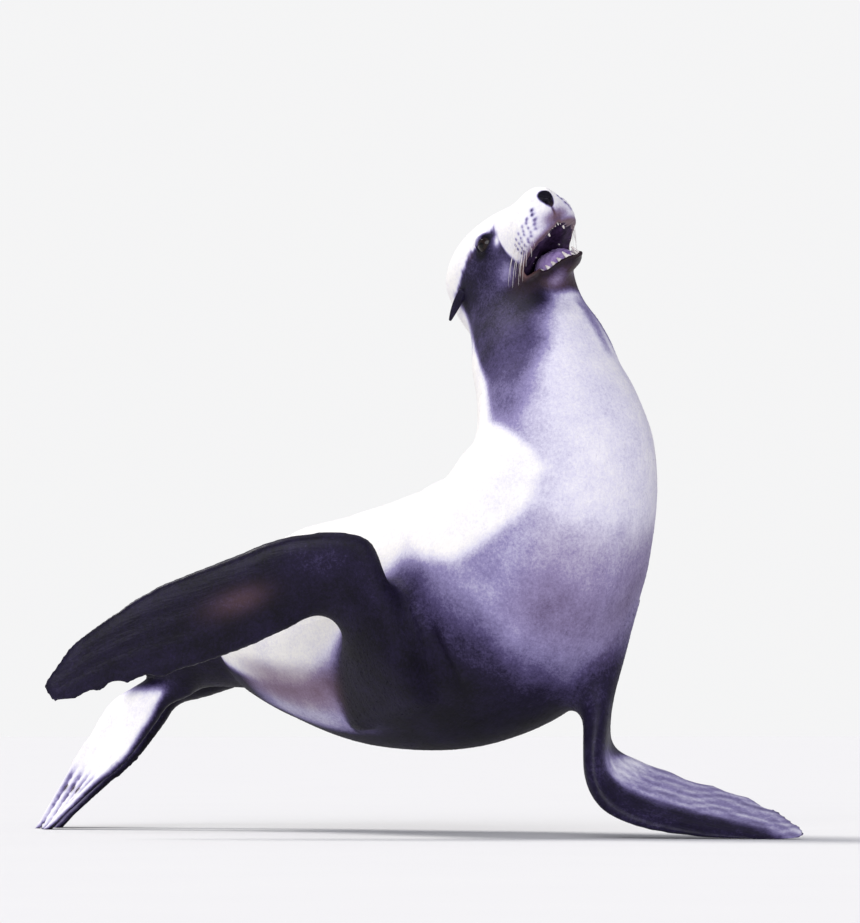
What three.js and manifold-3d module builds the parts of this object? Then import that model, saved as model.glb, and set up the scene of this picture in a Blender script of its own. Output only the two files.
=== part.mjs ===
// Adult female California sea lion, life size, sitting up with its head thrown back and
// its right fore flipper held out. Millimetres, +X is the way it faces, +Y its left, +Z up.
// Every soft form is a loft: a sphere's grid laid over rings that follow smooth curves
// through a few named stations. The whole body is lofted first and parted by thin cuts.
import * as THREE from "three";
import { mergeVertices } from "three/addons/utils/BufferGeometryUtils.js";
import Module from "manifold-3d";

// ---- driving dimensions -------------------------------------------------------------
const GAP = 0.3; // clearance between neighbouring nodes
const PLAN_CENTRE = [-345.5, -190.8]; // floor point below the middle of the whole figure

// The head: where its nose tip is, and how the skull is turned (degrees).
const NOSE = [75, -50, 916];
const HEAD_YAW = -20;
const HEAD_PITCH = 22.5;
const HEAD_ROLL = 30;

const EYE_RADIUS = 17;
const EYE = [-130, 41, 17]; // forward of the nose tip, out from the middle, up
const EAR_ROOT = [-214, 76, -8];
const EAR_TIP = [-254, 95, -24];
const LIP_CORNER = [-111, 0, -60];
const GAPE_PLANE = [0.03, 0, -1]; // parts the lower jaw from the upper, facing down
const CHEEK_PLANE = [0.987, 0, -0.16]; // and from the cheek, facing forward
const NAPE = [-262, 0, -50]; // parts the head from the neck
const NAPE_PLANE = [0.515, 0, 0.857];
const FLOOR = 0;

// Where the body is parted: a point of each cut, and the way the cut faces.
const CUTS = {
  neckTop: { point: [42, 0, 612], facing: [-0.1, 0, 1] },
  neckBase: { point: [20, 0, 500], facing: [0.45, 0, 0.89] },
  chestBack: { point: [-235, 0, 320], facing: [0.97, 0, 0.24] },
  loins: { point: [-520, 0, 305], facing: [1, 0, 0] },
  tailRoot: { point: [-760, -96, 284], facing: [0.86, 0.42, 0] },
  rightWrist: { point: [-222, -360, 340], facing: [0.6, 0.8, 0.06] },
  leftWrist: { point: [112, 50, 84], facing: [-0.45, -0.2, 0.87] },
};

// Trunk and neck from rump to skull: place, left-pointing side, half width, rise, depth.
const BODY = [
  { at: [-872, -146, 238], side: [0.4, 0.92, 0], size: [7, 4, 5] },
  { at: [-838, -127, 252], side: [0.4, 0.92, 0], size: [17, 11, 12] },
  { at: [-799, -106, 267], side: [0.4, 0.92, 0], size: [32, 25, 29] },
  { at: [-759, -85, 281], side: [0.4, 0.92, 0], size: [62, 50, 55] },
  { at: [-702, -57, 296], side: [0.36, 0.93, 0], size: [88, 80, 84] },
  { at: [-632, -26, 318], side: [0.28, 0.96, 0], size: [117, 107, 109] },
  { at: [-496, -5, 313], side: [0.1, 1, 0], size: [154, 158, 150] },
  { at: [-339, 0, 306], side: [0, 1, 0], size: [177, 185, 181] },
  { at: [-172, 0, 333], side: [0, 1, 0], size: [184, 188, 209] },
  { at: [-66, 0, 386], side: [0, 1, 0], size: [178, 172, 226] },
  { at: [8, 0, 458], side: [0, 1, 0], size: [164, 150, 184] },
  { at: [50, 0, 556], side: [0, 1, 0], size: [139, 127, 141] },
  { at: [23, 1, 652], side: [-0.1, 1, 0.12], size: [110, 109, 113] },
  { at: [-29, 12, 722], side: [-0.02, 0.96, 0.22], size: [93, 107, 111] },
  { at: [-67, 22, 762], side: [0.06, 0.92, 0.36], size: [81, 96, 84] },
  { at: [-96, 32, 788], side: [0.11, 0.88, 0.46], size: [58, 66, 48] },
];

// Head rings in the skull's own frame: [forward, top, widest level, underside, half width].
const SKULL = [
  [-352, 4, -16, -36, 20],
  [-334, 32, -20, -68, 48],
  [-302, 48, -22, -90, 68],
  [-270, 60, -22, -102, 76],
  [-240, 66, -22, -106, 79],
  [-212, 68, -22, -106, 79],
  [-186, 66, -22, -102, 77],
  [-160, 62, -24, -96, 72],
  [-136, 57, -28, -88, 65],
  [-114, 51, -32, -78, 59],
  [-94, 45, -34, -70, 56],
  [-74, 40, -32, -63, 54],
  [-52, 36, -27, -56, 51],
  [-32, 34, -21, -50, 45],
  [-16, 32, -14, -42, 37],
  [-5, 27, -7, -32, 27],
  [1, 18, -3, -20, 17],
  [4, 6, -2, -9, 8],
];
// Lower jaw rings, the same way; the jaw hangs open.
const JAW = [
  [-200, -80, -108, -136, 44],
  [-174, -64, -94, -130, 54],
  [-146, -56, -86, -122, 52],
  [-120, -55, -83, -112, 43],
  [-96, -58, -82, -107, 36],
  [-72, -63, -82, -102, 29],
  [-48, -68, -84, -99, 22],
  [-30, -74, -87, -97, 15],
  [-18, -80, -89, -95, 10],
  [-11, -86, -91, -93, 6],
];
// The gape between the lips, right across the muzzle and narrowing to the lip corners.
const GAPE = [
  [-114, -58, -60, -62, 32],
  [-100, -55, -60, -63, 41],
  [-78, -49, -59, -64, 50],
  [-56, -45, -59, -67, 58],
  [-36, -41, -60, -73, 64],
  [-16, -38, -62, -82, 66],
  [6, -38, -66, -92, 66],
];
// The hollow of the mouth, from palate to floor.
const MOUTH = [
  [-140, -60, -64, -68, 8],
  [-128, -54, -62, -73, 20],
  [-106, -46, -61, -78, 28],
  [-82, -40, -60, -82, 27],
  [-58, -35, -59, -86, 22],
  [-36, -31, -58, -89, 15],
  [-20, -30, -58, -91, 10],
  [-8, -38, -60, -84, 5],
];
const TONGUE = [
  [-134, -62, -67, -72, 8],
  [-116, -62, -70, -82, 19],
  [-92, -65, -74, -87, 22],
  [-68, -70, -79, -90, 18],
  [-48, -76, -84, -92, 12],
  [-38, -82, -87, -92, 6],
];
const UPPER_TEETH = {
  front: [-15, -27],
  canine: [-25, 15, -27],
  cheek: [[-38, 17, -31], [-86, 25, -42]],
  length: 13,
};
const LOWER_TEETH = {
  front: [-23, -92],
  canine: [-30, 10, -91],
  cheek: [[-42, 15, -90], [-90, 29, -78]],
  length: 15,
};
const CHEEK_TEETH = 4;
const CANINE_EXTRA = 6;

// Flippers from root to tip: leading edge, trailing edge, thickness.
const FORE_RIGHT = [
  [[-90, -119, 191], [-301, -90, 150], 60],
  [[-68, -178, 262], [-276, -134, 199], 84],
  [[-72, -215, 338], [-232, -180, 254], 80],
  [[-93, -242, 424], [-198, -217, 304], 66],
  [[-126, -271, 437], [-192, -257, 312], 54],
  [[-181, -331, 431], [-204, -299, 297], 46],
  [[-217, -371, 412], [-232, -348, 271], 40],
  [[-259, -418, 388], [-279, -413, 241], 32],
  [[-303, -467, 362], [-316, -464, 223], 25],
  [[-343, -515, 324], [-345, -505, 213], 20],
  [[-377, -555, 286], [-368, -536, 200], 15],
  [[-400, -582, 245], [-389, -567, 193], 11],
  [[-407, -589, 212], [-398, -578, 186], 7],
];
const FORE_LEFT = [
  [[104, 50, 350], [0, 108, 345], 120],
  [[108, 38, 298], [-4, 104, 300], 120],
  [[112, 28, 248], [6, 98, 249], 96],
  [[114, 16, 206], [18, 92, 207], 66],
  [[117, 6, 166], [31, 91, 169], 48],
  [[119, -3, 123], [45, 90, 140], 46],
  [[126, -13, 82], [58, 94, 126], 44],
  [[143, -6, 46], [83, 112, 114], 40],
  [[180, 17, 21], [113, 135, 100], 34],
  [[236, 58, 6], [161, 170, 81], 28],
  [[293, 102, -1], [218, 195, 65], 21],
  [[344, 141, -4], [278, 207, 44], 15],
  [[372, 160, -1], [333, 194, 28], 10],
  [[386, 169, 8], [372, 178, 18], 7],
];
const HIND_RIGHT = [
  [[-660, -50, 262], [-700, -4, 306], 60],
  [[-700, -70, 236], [-752, -34, 280], 64],
  [[-730, -92, 216], [-800, -68, 246], 54],
  [[-756, -106, 198], [-838, -100, 222], 42],
  [[-771, -122, 161], [-876, -123, 199], 33],
  [[-795, -144, 116], [-911, -146, 139], 26],
  [[-820, -170, 78], [-935, -164, 98], 19],
];
const HIP = [0, 0, 0];
const HIND_LEFT_STEP = [-100, 92, 0]; // the left hind foot stands this far from the right one
const HIND_LEFT_ROOT = [-8, 96, 4]; // and its hip lies this far from the right one
const TOE_TIPS = [[-886, -234, -8], [-971, -195, -8]]; // near and far end of the toe line
const TOE_LENGTHS = [1.1, 1.02, 0.98, 1.02, 1.1]; // shares of the way to the toe line
const TOE_HALF_WIDTH = 12.5;
const TOE_THICKNESS = 20;
const TOE_RINGS = [0, 0.3, 0.6, 0.85, 1]; // how far along a toe its rings are

// The scalloped trailing edge of a fore flipper: where it starts, how deep, waves a length.
const LOBES = { start: 0.62, depth: 5, waves: 13 };
const THIN_EDGE = 0.44; // trailing edge's thickness as a share of the leading edge's
const EAR_RINGS = [-0.15, 0.2, 0.55, 0.85, 1];
const EAR_HALF_WIDTH = 8;
const EAR_THICKNESS = 9;

// How round a head ring is (1 is an ellipse, 0 is a box), above and below its widest level.
const SOFTNESS = { crown: 0.94, keel: 0.74 };
const GAPE_SOFTNESS = { crown: 0.3, keel: 0.3 };

const COAT = { color: 0x6b6276, roughness: 0.6 };
const HIDE = { color: 0x2a2535, roughness: 0.45 };
const TONGUE_LOOK = { color: 0x8a6f95, roughness: 0.4 };
const EYE_LOOK = { color: 0x0a080c, roughness: 0.08 };

// ---- small helpers ------------------------------------------------------------------
const vec = (p) => new THREE.Vector3(...p);
const wasm = await Module();
wasm.setup();

// A three.js geometry as a manifold-3d solid, and back.
function solid(geometry) {
  const g = geometry.clone();
  g.deleteAttribute("normal");
  g.deleteAttribute("uv");
  const merged = mergeVertices(g, 1e-3);
  const mesh = { numProp: 3, vertProperties: merged.attributes.position.array };
  mesh.triVerts = new Uint32Array(merged.index.array);
  return new wasm.Manifold(new wasm.Mesh(mesh));
}

function geometryOf(body) {
  const mesh = body.getMesh();
  const g = new THREE.BufferGeometry();
  g.setAttribute("position", new THREE.BufferAttribute(mesh.vertProperties, 3));
  g.setIndex(new THREE.BufferAttribute(mesh.triVerts, 1));
  g.computeVertexNormals();
  return g;
}

// A smooth curve through one column of a station table.
const curve = (points) => new THREE.CatmullRomCurve3(points.map(vec), false, "centripetal");
const at = (path, t) => path.getPoint(t);

// A closed loft: place(t, angle) gives the surface point, t from 0 to 1 along it.
// The sphere's two poles fall on the middles of the first and last ring.
function loft(place, segments, steps) {
  const g = new THREE.SphereGeometry(1, segments, steps);
  const position = g.attributes.position;
  for (let i = 0; i < position.count; i++) {
    const row = Math.floor(i / (segments + 1));
    const column = (i % (segments + 1)) % segments;
    const closed = row === 0 || row === steps ? 0 : 1;
    const p = place(row / steps, (column / segments) * 2 * Math.PI, closed);
    position.setXYZ(i, p.x, p.y, p.z);
  }
  const made = solid(g);
  if (made.volume() > 0) return made;
  g.index.array.reverse();
  return solid(g);
}

// ---- trunk and neck -----------------------------------------------------------------
// A ring of the body: half width w to each side, up above and down below its middle.
function bodyLoft(stations, segments, steps, grow = 0) {
  const middle = curve(stations.map((s) => s.at));
  const side = curve(stations.map((s) => s.side));
  const size = curve(stations.map((s) => s.size));
  return loft((t, angle, open) => {
    const along = middle.getTangent(t);
    const left = at(side, t);
    left.addScaledVector(along, -left.dot(along)).normalize();
    const dorsal = along.clone().cross(left);
    const s = at(size, t);
    const rise = (Math.sin(angle) > 0 ? s.y : s.z) + grow;
    return at(middle, t)
      .addScaledVector(left, open * (s.x + grow) * Math.cos(angle))
      .addScaledVector(dorsal, open * rise * Math.sin(angle));
  }, segments, steps);
}

// ---- head, jaw, mouth and tongue ----------------------------------------------------
// The skull's frame: x forward, y left, z up, with its origin at the nose tip.
const skullFrame = new THREE.Matrix4().makeRotationFromEuler(
  new THREE.Euler(
    THREE.MathUtils.degToRad(HEAD_ROLL),
    THREE.MathUtils.degToRad(-HEAD_PITCH),
    THREE.MathUtils.degToRad(HEAD_YAW),
    "ZYX",
  ),
);
skullFrame.setPosition(...NOSE);
const inSkull = (p) => vec(p).applyMatrix4(skullFrame);
const skullTurn = (p) => vec(p).transformDirection(skullFrame);

// Rings square to the skull's forward axis, fuller below their widest level than above it.
function ringLoft(rings, segments, steps, grow = 0, softness = SOFTNESS) {
  const crown = curve(rings.map(([x, top, level]) => [x, top, level]));
  const keel = curve(rings.map(([x, , , under, width]) => [x, under, width]));
  return loft((t, angle, open) => {
    const { x, y: top, z: level } = at(crown, t);
    const { y: under, z: width } = at(keel, t);
    const [c, s] = [Math.cos(angle), Math.sin(angle)];
    const soft = s > 0 ? softness.crown : softness.keel;
    const height = (s > 0 ? top - level : level - under) + grow;
    const across = Math.sign(c) * Math.abs(c) ** soft * (width + grow) * open;
    const up = Math.sign(s) * Math.abs(s) ** soft * height * open;
    return inSkull([x, across, level + up]);
  }, segments, steps);
}

// Teeth are cones from the gum line, pointing up (+1) or down (-1): three incisors on the
// front arc, a canine, then cheek teeth back along each side.
function toothCone([x, y, z], length, radius, pointing) {
  const cone = new THREE.ConeGeometry(radius, length, 5);
  cone.rotateX((pointing * Math.PI) / 2);
  cone.translate(x, y, z + (pointing * length) / 2);
  return solid(cone.applyMatrix4(skullFrame));
}

function teeth({ front, canine, cheek, length }, pointing) {
  const row = [];
  const tooth = (place, long, radius) => row.push(toothCone(place, long, radius, pointing));
  for (const sign of [-1, 1]) {
    for (const i of [0, 1]) {
      tooth([front[0] - i * 1.5, sign * (2.8 + i * 4.8), front[1]], length, 2.4);
    }
    tooth([canine[0], sign * canine[1], canine[2]], length + CANINE_EXTRA, 4.2);
    for (let i = 0; i < CHEEK_TEETH; i++) {
      const place = vec(cheek[0]).lerp(vec(cheek[1]), i / (CHEEK_TEETH - 1));
      place.y *= sign;
      tooth(place.toArray(), length, 4);
    }
  }
  return row;
}

// ---- flippers -----------------------------------------------------------------------
// A flipper's ring is an aerofoil between its leading and trailing edge.
function flipperLoft(stations, segments, steps, trailing = () => 0) {
  const lead = curve(stations.map((s) => s[0]));
  const trail = curve(stations.map((s) => s[1]));
  const thick = curve(stations.map((s) => [s[2], 0, 0]));
  return loft((t, angle, open) => {
    const front = at(lead, t);
    const back = at(trail, t);
    const chord = front.clone().sub(back);
    const along = lead.getTangent(t).add(trail.getTangent(t));
    const normal = along.cross(chord).normalize();
    const half = Math.cos(angle);
    const taper = (1 + THIN_EDGE) / 2 + ((1 - THIN_EDGE) / 2) * half;
    const reach = half < 0 ? trailing(t) * half * half : 0;
    return front
      .add(back)
      .multiplyScalar(0.5)
      .addScaledVector(chord, open * half * 0.5)
      .addScaledVector(chord.clone().normalize(), -open * reach)
      .addScaledVector(normal, open * taper * (at(thick, t).x / 2) * Math.sin(angle));
  }, segments, steps);
}

// Soft lobes where the digits end along a fore flipper's trailing edge.
function lobes(t) {
  const along = t - LOBES.start;
  return along > 0 ? LOBES.depth * Math.sin(along * 2 * Math.PI * LOBES.waves) : 0;
}

// One hind foot's five toes, fanned from the end of its web to the toe line.
function toes(web) {
  return TOE_LENGTHS.map((length, i) => {
    const across = (i + 0.5) / TOE_LENGTHS.length;
    const mix = (pair) => vec(pair[0]).lerp(vec(pair[1]), across);
    const root = mix(web[web.length - 2]);
    const tip = root.clone().lerp(mix(TOE_TIPS), length);
    tip.z = mix(TOE_TIPS).z;
    const width = vec(TOE_TIPS[1]).sub(vec(TOE_TIPS[0])).normalize();
    const rings = TOE_RINGS.map((t) => {
      const middle = root.clone().lerp(tip, t);
      const half = TOE_HALF_WIDTH * (1 - t / 3);
      const edge = (sign) => middle.clone().addScaledVector(width, sign * half).toArray();
      return [edge(-1), edge(1), TOE_THICKNESS * (1 - t / 2)];
    });
    return flipperLoft(rings, 8, 6);
  });
}

// The leg shifts from its hip's step to its foot's step over the first stations.
function hindFlipper(hipStep, step) {
  const leg = HIND_RIGHT.map(([near, far, thick], i) => {
    const shift = vec(hipStep).lerp(vec(step), Math.min(1, i / 3));
    const moved = (p) => vec(p).add(shift).toArray();
    return [moved(near), moved(far), thick];
  });
  const fan = toes(HIND_RIGHT).map((toe) => toe.translate(step));
  return wasm.Manifold.union([flipperLoft(leg, 12, 11), ...fan]);
}

// ---- ears ---------------------------------------------------------------------------
// A pinna: a small rolled cone that lies back along the side of the head.
function earSolid(sign) {
  const rings = EAR_RINGS.map((t) => {
    const middle = vec(EAR_ROOT).lerp(vec(EAR_TIP), t);
    const half = EAR_HALF_WIDTH * (1 - 0.7 * t * t);
    const edge = (up) => inSkull([middle.x, sign * middle.y, middle.z + up * half]).toArray();
    return [edge(1), edge(-1), EAR_THICKNESS * (1 - 0.45 * t)];
  });
  return flipperLoft(rings, 8, 6);
}

// ---- cutting into nodes -------------------------------------------------------------
// Splits a solid by a plane through a point, leaving the gap between the two pieces.
function part(body, point, normal) {
  const n = vec(normal).normalize();
  const offset = n.dot(vec(point));
  const ahead = body.trimByPlane(n.toArray(), offset + GAP / 2);
  const behind = body.trimByPlane(n.clone().negate().toArray(), -offset + GAP / 2);
  return [ahead, behind];
}

const cutAt = (body, { point, facing }) => part(body, point, facing);

// The largest separate body of a solid.
function main(body) {
  return body.decompose().sort((a, b) => b.volume() - a.volume())[0];
}

const group = new THREE.Group();
group.position.set(-PLAN_CENTRE[0], -PLAN_CENTRE[1], 0);
function add(name, body, look) {
  const mesh = new THREE.Mesh(geometryOf(main(body)), new THREE.MeshStandardMaterial(look));
  mesh.name = name;
  group.add(mesh);
}

// ---- build --------------------------------------------------------------------------
const trunk = bodyLoft(BODY, 20, 34);
const trunkRoom = bodyLoft(BODY, 20, 34, GAP);
const skull = ringLoft(SKULL, 20, 25);
const jaw = ringLoft(JAW, 16, 12);
const hollow = ringLoft(MOUTH, 14, 10);
const gape = ringLoft(GAPE, 10, 7, 0, GAPE_SOFTNESS);
const tongue = ringLoft(TONGUE, 10, 8);
const tongueRoom = ringLoft(TONGUE, 10, 8, GAP);

const eyes = {};
const sockets = [];
const ears = {};
for (const [name, sign] of [["left", 1], ["right", -1]]) {
  const place = inSkull([EYE[0], sign * EYE[1], EYE[2]]).toArray();
  eyes[name] = solid(new THREE.SphereGeometry(EYE_RADIUS, 12, 8)).translate(place);
  sockets.push(solid(new THREE.SphereGeometry(EYE_RADIUS + GAP, 12, 8)).translate(place));
  ears[name] = earSolid(sign);
}

const turned = (n) => skullTurn(n).toArray();
const headAndTrunk = wasm.Manifold.union([trunk, skull, jaw]);
const [headPiece, bodyPiece] = part(headAndTrunk, inSkull(NAPE).toArray(), turned(NAPE_PLANE));
const allTeeth = [...teeth(UPPER_TEETH, -1), ...teeth(LOWER_TEETH, 1)];
const headFlesh = wasm.Manifold.union([headPiece.subtract(hollow.add(gape)), ...allTeeth])
  .subtract(wasm.Manifold.union([...sockets, tongueRoom]));

// The lower jaw lies ahead of a plane down from the lip corner and below the gape's middle.
const corner = inSkull(LIP_CORNER).toArray();
const [jawSide, cheekSide] = part(headFlesh, corner, turned(CHEEK_PLANE));
const lowerJaw = part(jawSide, corner, turned(GAPE_PLANE))[0];
const upperJaw = part(headFlesh, corner, turned(GAPE_PLANE))[1];
const head = wasm.Manifold.union([cheekSide, upperJaw]);

// From the nape back, each cut leaves one node ahead of it and the rest behind.
const [neckUpper, belowNeckTop] = cutAt(bodyPiece, CUTS.neckTop);
const [neckLower, belowNeck] = cutAt(belowNeckTop, CUTS.neckBase);
const [chest, behindChest] = cutAt(belowNeck, CUTS.chestBack);
const [belly, behindBelly] = cutAt(behindChest, CUTS.loins);
const [hindquarters, tail] = cutAt(behindBelly, CUTS.tailRoot);

const floorCut = (body) => body.trimByPlane([0, 0, 1], FLOOR);
const armRight = flipperLoft(FORE_RIGHT, 12, 25, lobes).subtract(trunkRoom);
const armLeft = floorCut(flipperLoft(FORE_LEFT, 12, 25, lobes)).subtract(trunkRoom);
const [foreRight, handRight] = cutAt(main(armRight), CUTS.rightWrist);
const [foreLeft, handLeft] = cutAt(main(armLeft), CUTS.leftWrist);
const hindRight = floorCut(hindFlipper(HIP, HIP)).subtract(trunkRoom);
const hindLeft = floorCut(hindFlipper(HIND_LEFT_ROOT, HIND_LEFT_STEP)).subtract(trunkRoom);

add("head", head, COAT);
add("lower_jaw", lowerJaw, HIDE);
add("tongue", tongue, TONGUE_LOOK);
add("neck_upper", neckUpper, COAT);
add("neck_lower", neckLower, COAT);
add("chest", chest, COAT);
add("belly", belly, COAT);
add("hindquarters", hindquarters, COAT);
add("tail", tail, COAT);
add("fore_arm_right", foreRight, HIDE);
add("fore_hand_right", handRight, HIDE);
add("fore_arm_left", foreLeft, HIDE);
add("fore_hand_left", handLeft, HIDE);
add("hind_flipper_right", hindRight, HIDE);
add("hind_flipper_left", hindLeft, HIDE);
for (const side of ["left", "right"]) {
  add(`eye_${side}`, eyes[side], EYE_LOOK);
  add(`ear_${side}`, ears[side].subtract(headFlesh), HIDE);
}

export default group;
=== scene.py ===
# %% [markdown]
# # Sea lion: the looks of a life-size still model
# The solids of the frame say where every part of the animal is. This notebook grows one
# skin over them, opens the mouth, shapes the face, and then adds eyes, teeth, whiskers,
# claws, coat, materials and studio light.

# %% Load the frame
import math

import bmesh
import bpy
import numpy as np
from mathutils import Matrix, Vector
from mathutils.kdtree import KDTree


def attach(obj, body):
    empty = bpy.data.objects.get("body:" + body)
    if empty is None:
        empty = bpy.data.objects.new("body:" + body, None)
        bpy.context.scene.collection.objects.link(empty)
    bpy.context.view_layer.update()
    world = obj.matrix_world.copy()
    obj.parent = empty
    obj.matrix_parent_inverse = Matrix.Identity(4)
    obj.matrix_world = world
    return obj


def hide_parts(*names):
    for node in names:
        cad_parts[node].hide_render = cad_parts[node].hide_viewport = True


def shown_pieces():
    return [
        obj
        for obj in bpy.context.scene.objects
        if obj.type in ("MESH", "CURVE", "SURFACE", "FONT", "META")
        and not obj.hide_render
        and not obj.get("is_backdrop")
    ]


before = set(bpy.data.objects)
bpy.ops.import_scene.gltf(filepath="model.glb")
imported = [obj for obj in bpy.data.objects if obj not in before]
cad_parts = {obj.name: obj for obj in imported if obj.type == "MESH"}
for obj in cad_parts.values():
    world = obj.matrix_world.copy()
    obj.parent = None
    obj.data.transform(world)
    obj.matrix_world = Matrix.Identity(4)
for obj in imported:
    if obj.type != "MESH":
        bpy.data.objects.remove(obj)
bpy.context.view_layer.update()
MM = 0.001
PLAN_CENTRE = np.array([-345.5, -190.8, 0.0])  # mm, the middle of the part's plan
random = np.random.default_rng(11)


def to_frame(points):
    """Points in the body's own millimetres, as places in the frame in metres."""
    return (np.asarray(points, float) - PLAN_CENTRE) * MM


# %% [markdown]
# ## Camera, floor and light
# A model of this size is shown on a plain pale floor, through a long lens that keeps its
# proportions. A short lens close by would swell the head, so the camera stands far off, a
# little above the floor, and looks slightly up. The floor is one wide plane, because a
# curved backdrop would show its bend. Two suns light it, as large soft lamps would: the key
# stands high on the left and a little behind, so that back and crown are the brightest
# places, and a broad fill from the front opens the shadows of chest and belly.

# %% Camera
CAMERA_PLACE = (5.60715, -4.42868, 0.150)
CAMERA_PITCH, CAMERA_TURN = 3.22, 50.0  # degrees above level, and round the vertical
LENS = 188.29  # millimetres
camera = bpy.data.objects.new("camera", bpy.data.cameras.new("camera"))
camera.data.lens = LENS
camera.data.clip_end = 500
camera.location = CAMERA_PLACE
camera.rotation_euler = (math.radians(90 + CAMERA_PITCH), 0, math.radians(CAMERA_TURN))
bpy.context.scene.collection.objects.link(camera)
bpy.context.scene.camera = camera
print("camera", [round(v, 2) for v in camera.location])

# %% Node helpers
def node(tree, kind, numbered=None, **settings):
    """A node: capital names and numbers set its inputs, small names its properties."""
    made = tree.nodes.new("ShaderNode" + kind)
    for name, value in settings.items():
        if name[0].isupper():
            made.inputs[name.replace("_", " ")].default_value = value
        else:
            setattr(made, name, value)
    for index, value in (numbered or {}).items():
        made.inputs[index].default_value = value
    return made


def wire(*steps):
    """Joins nodes in a row: a node, "output > input", the next node, and so on."""
    for source, ends, target in zip(steps[::2], steps[1::2], steps[2::2]):
        out, into = (int(end) if end.isdigit() else end for end in ends.split(" > "))
        source.id_data.links.new(source.outputs[out], target.inputs[into])


def ramp(tree, stops):
    """A colour ramp with one stop for each place and colour."""
    made = node(tree, "ValToRGB")
    elements = made.color_ramp.elements
    while len(elements) < len(stops):
        elements.new(0.5)
    for element, (position, colour) in zip(elements, stops):
        element.position = position
        element.color = (*colour, 1)
    return made


def material(name, **settings):
    """A new material, its nodes and its Principled shader with plain values set."""
    made = bpy.data.materials.new(name)
    made.use_nodes = True
    shader = made.node_tree.nodes["Principled BSDF"]
    for key, value in settings.items():
        shader.inputs[key.replace("_", " ")].default_value = value
    return made, made.node_tree, shader


print("helpers ready")

# %% Floor
FLOOR_SPREAD = 150.0  # metres, half the width of the plane
FLOOR_COLOURS = [(0, (0.777, 0.777, 0.782)), (1, (0.798, 0.798, 0.798))]


def finish_object(name, edit):
    """Turns an edited mesh into a scene object with smooth faces."""
    data = bpy.data.meshes.new(name)
    edit.to_mesh(data)
    edit.free()
    data.polygons.foreach_set("use_smooth", [True] * len(data.polygons))
    made = bpy.data.objects.new(name, data)
    bpy.context.scene.collection.objects.link(made)
    return made


edit = bmesh.new()
bmesh.ops.create_grid(edit, x_segments=8, y_segments=8, size=FLOOR_SPREAD)
floor = finish_object("floor", edit)
floor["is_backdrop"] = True
floor_look, tree, shader = material("studio floor", Roughness=0.9, Specular_IOR_Level=0.1)
place = node(tree, "TexCoord")
speck = node(tree, "TexNoise", Scale=3.0, Detail=4.0)
tint = ramp(tree, FLOOR_COLOURS)
wire(place, "Object > Vector", speck, "Fac > Fac", tint, "Color > Base Color", shader)
floor.data.materials.append(floor_look)
print("floor", 2 * FLOOR_SPREAD, "m wide")

# %% Sky
sky = bpy.data.worlds.new("studio")
sky.use_nodes = True
glow = sky.node_tree.nodes["Background"]
glow.inputs["Color"].default_value = (0.93, 0.93, 1.0, 1)
glow.inputs["Strength"].default_value = 0.42
backdrop = node(sky.node_tree, "Background", Color=(0.91, 0.91, 0.915, 1))
seen = node(sky.node_tree, "LightPath")
either = node(sky.node_tree, "MixShader")
wire(seen, "Is Camera Ray > 0", either, "0 > 0", sky.node_tree.nodes["World Output"])
wire(glow, "0 > 1", either)
wire(backdrop, "0 > 2", either)
bpy.context.scene.world = sky
bpy.context.scene.view_settings.view_transform = "Standard"
print("sky", sky.name)

# %% Lamps
AIM = Vector((0.0, 0.0, 0.45))
VIEW_RIGHT = Vector((0.643, 0.766, 0.0))  # the camera's own right and away, along the floor
VIEW_AWAY = Vector((-0.766, 0.643, 0.0))


def sun(name, place, power, colour, spread):
    """A sun that shines on the animal from a place right of, behind and above it in the view."""
    made = bpy.data.objects.new(name, bpy.data.lights.new(name, "SUN"))
    made.data.energy = power
    made.data.color = colour
    made.data.angle = math.radians(spread)
    right, away, up = place
    made.location = AIM + VIEW_RIGHT * right + VIEW_AWAY * away + Vector((0, 0, up))
    made.rotation_euler = (AIM - made.location).to_track_quat("-Z", "Y").to_euler()
    bpy.context.scene.collection.objects.link(made)
    return made


suns = [sun("key", (-2.4, 1.2, 3.4), 2.3, (1.0, 0.98, 0.95), 24),
        sun("fill", (-0.1, -3.8, 1.6), 1.85, (0.94, 0.94, 1.0), 40)]
print("suns", [lamp.name for lamp in suns])

# %% [markdown]
# ## Shape helpers
# Every soft form of a sea lion is a tapering tube: trunk, neck, muzzle, flipper, toe. Each
# is made as a closed round ball whose rows are laid on rings along a smooth curve. The
# rails of a form are its middle line with the three directions along, across and up, so
# that any point near it can later be found again in the straightened form. A skin modifier
# over a few points would be quicker, but it can't tell a section's width from its height.

# %% Curves and lofts
def curve(points):
    """A centripetal curve through the points, as a function of t from 0 to 1."""
    inner = np.array(points, float)
    stations = np.vstack([2 * inner[0] - inner[1], inner, 2 * inner[-1] - inner[-2]])

    def place(t):
        run = np.clip(t, 0, 1) * (len(inner) - 1)
        first = np.minimum(run.astype(int), len(inner) - 2)
        w = (run - first)[:, None]
        a, b, c, d = (stations[first + i] for i in range(4))
        gaps = [np.sum((q - p) ** 2, axis=1)[:, None] ** 0.25 for p, q in ((a, b), (b, c), (c, d))]
        gaps[1] = np.where(gaps[1] < 1e-4, 1, gaps[1])
        gaps[0] = np.where(gaps[0] < 1e-4, gaps[1], gaps[0])
        gaps[2] = np.where(gaps[2] < 1e-4, gaps[1], gaps[2])
        start = (b - a) / gaps[0] - (c - a) / (gaps[0] + gaps[1]) + (c - b) / gaps[1]
        end = (c - b) / gaps[1] - (d - b) / (gaps[1] + gaps[2]) + (d - c) / gaps[2]
        start, end = start * gaps[1], end * gaps[1]
        bend = -3 * b + 3 * c - 2 * start - end
        twist = 2 * b - 2 * c + start + end
        return b + start * w + bend * w**2 + twist * w**3

    return place


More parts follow.
